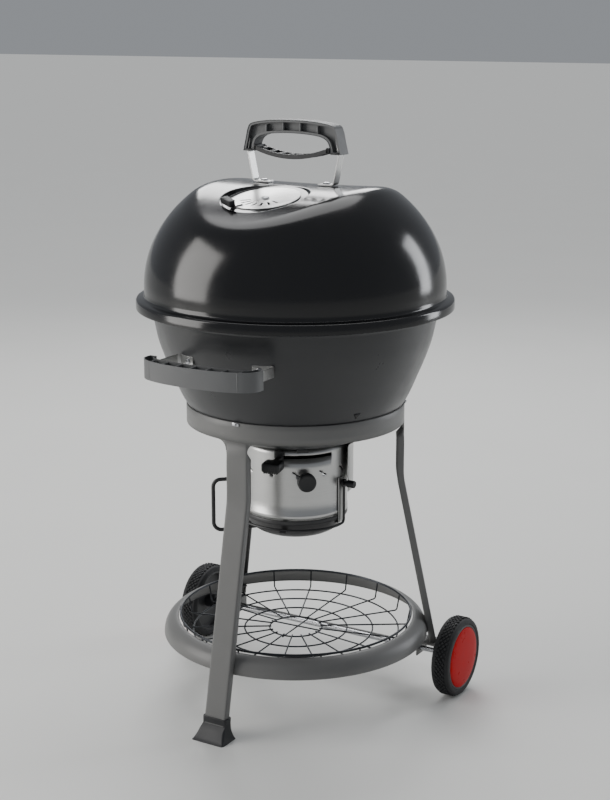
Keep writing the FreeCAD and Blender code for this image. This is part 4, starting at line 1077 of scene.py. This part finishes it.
def soft_light(name, location, target, size, energy, colour=(1, 1, 1)):
    data = bpy.data.lights.new(name, "AREA")
    data.shape = "RECTANGLE"
    data.size, data.size_y = size
    data.energy = energy
    data.color = colour
    lamp = bpy.data.objects.new(name, data)
    lamp.location = location
    lamp.rotation_euler = (Vector(target) - Vector(location)).to_track_quat("-Z", "Y").to_euler()
    bpy.context.scene.collection.objects.link(lamp)


class BuildStage(bpy.types.Operator):
    """Camera, pale floor and soft studio light"""

    bl_idname = "grill.build_stage"
    bl_label = "Stage"

    def execute(self, context):
        camera = bpy.data.cameras.new("camera")
        camera.sensor_fit = "AUTO"
        camera.sensor_width = 36
        camera.lens = 69.78
        camera.clip_end = 100
        holder = bpy.data.objects.new("camera", camera)
        context.scene.collection.objects.link(holder)
        context.scene.camera = holder
        holder.location = (1.4728, -2.4301, 1.2765)
        holder.rotation_euler = (math.radians(90 - 13.89), 0, math.radians(30.86))
        bm = bmesh.new()
        bmesh.ops.create_grid(bm, x_segments=1, y_segments=1, size=40)
        mesh = bpy.data.meshes.new("floor")
        bm.to_mesh(mesh)
        bm.free()
        material, tree, surface = shader("pale_studio_floor")
        mottle(tree, surface, object_coords(tree), linear("D9D9D6"), 0.02, 400, 0.6, 0.04)
        mesh.materials.append(material)
        floor = bpy.data.objects.new("floor", mesh)
        context.scene.collection.objects.link(floor)
        world = bpy.data.worlds.new("studio")
        context.scene.world = world
        world.use_nodes = True
        sky = world.node_tree.nodes["Background"].inputs
        sky["Color"].default_value = (0.86, 0.9, 0.96, 1)
        sky["Strength"].default_value = 0.32
        target = (0, 0, 0.7)
        soft_light("rear_overhead", (-1.6, 2.6, 2.4), target, (1.6, 1.0), 38)
        soft_light("key", (-3.3, -2.6, 1.9), target, (2.6, 3.4), 150, (1, 0.98, 0.95))
        sun = bpy.data.lights.new("broad_sky", "SUN")
        sun.angle = math.radians(50)
        sun.energy = 1.5
        holder = bpy.data.objects.new("broad_sky", sun)
        holder.rotation_euler = Vector((0.35, -0.6, -1.5)).to_track_quat("-Z", "Y").to_euler()
        context.scene.collection.objects.link(holder)
        soft_light("side", (2.6, 3.4, 1.6), target, (1.0, 2.6), 60, (0.95, 0.97, 1))
        return {"FINISHED"}


class GrillPanel(bpy.types.Panel):
    """Sizes, colours and a button for each group of pieces"""

    bl_idname = "VIEW3D_PT_grill"
    bl_label = "Kettle grill"
    bl_space_type = "VIEW_3D"
    bl_region_type = "UI"
    bl_category = "Grill"

    def draw(self, context):
        for group in (context.scene.grill_sizes, context.scene.grill_colours):
            column = self.layout.column(align=True)
            for name in group.__annotations__:
                column.prop(group, name)
        for operator in BUILDERS:
            self.layout.operator(operator.bl_idname)


BUILDERS = (
    BuildLid,
    BuildDamper,
    BuildLidHandle,
    BuildBowl,
    BuildBowlHandle,
    BuildStand,
    BuildDrum,
    BuildLever,
    BuildPan,
    BuildWires,
    BuildWheels,
    BuildStage,
)
CLASSES = (GrillSizes, GrillColours) + BUILDERS + (GrillPanel,)


def register():
    for item in CLASSES:
        bpy.utils.register_class(item)
    bpy.types.Scene.grill_sizes = bpy.props.PointerProperty(type=GrillSizes)
    bpy.types.Scene.grill_colours = bpy.props.PointerProperty(type=GrillColours)


def unregister():
    del bpy.types.Scene.grill_colours
    del bpy.types.Scene.grill_sizes
    for item in reversed(CLASSES):
        bpy.utils.unregister_class(item)


def main():
    register()
    make_finishes()
    for builder in BUILDERS:
        group, name = builder.bl_idname.split(".")
        getattr(getattr(bpy.ops, group), name)()


if __name__ == "__main__":
    main()
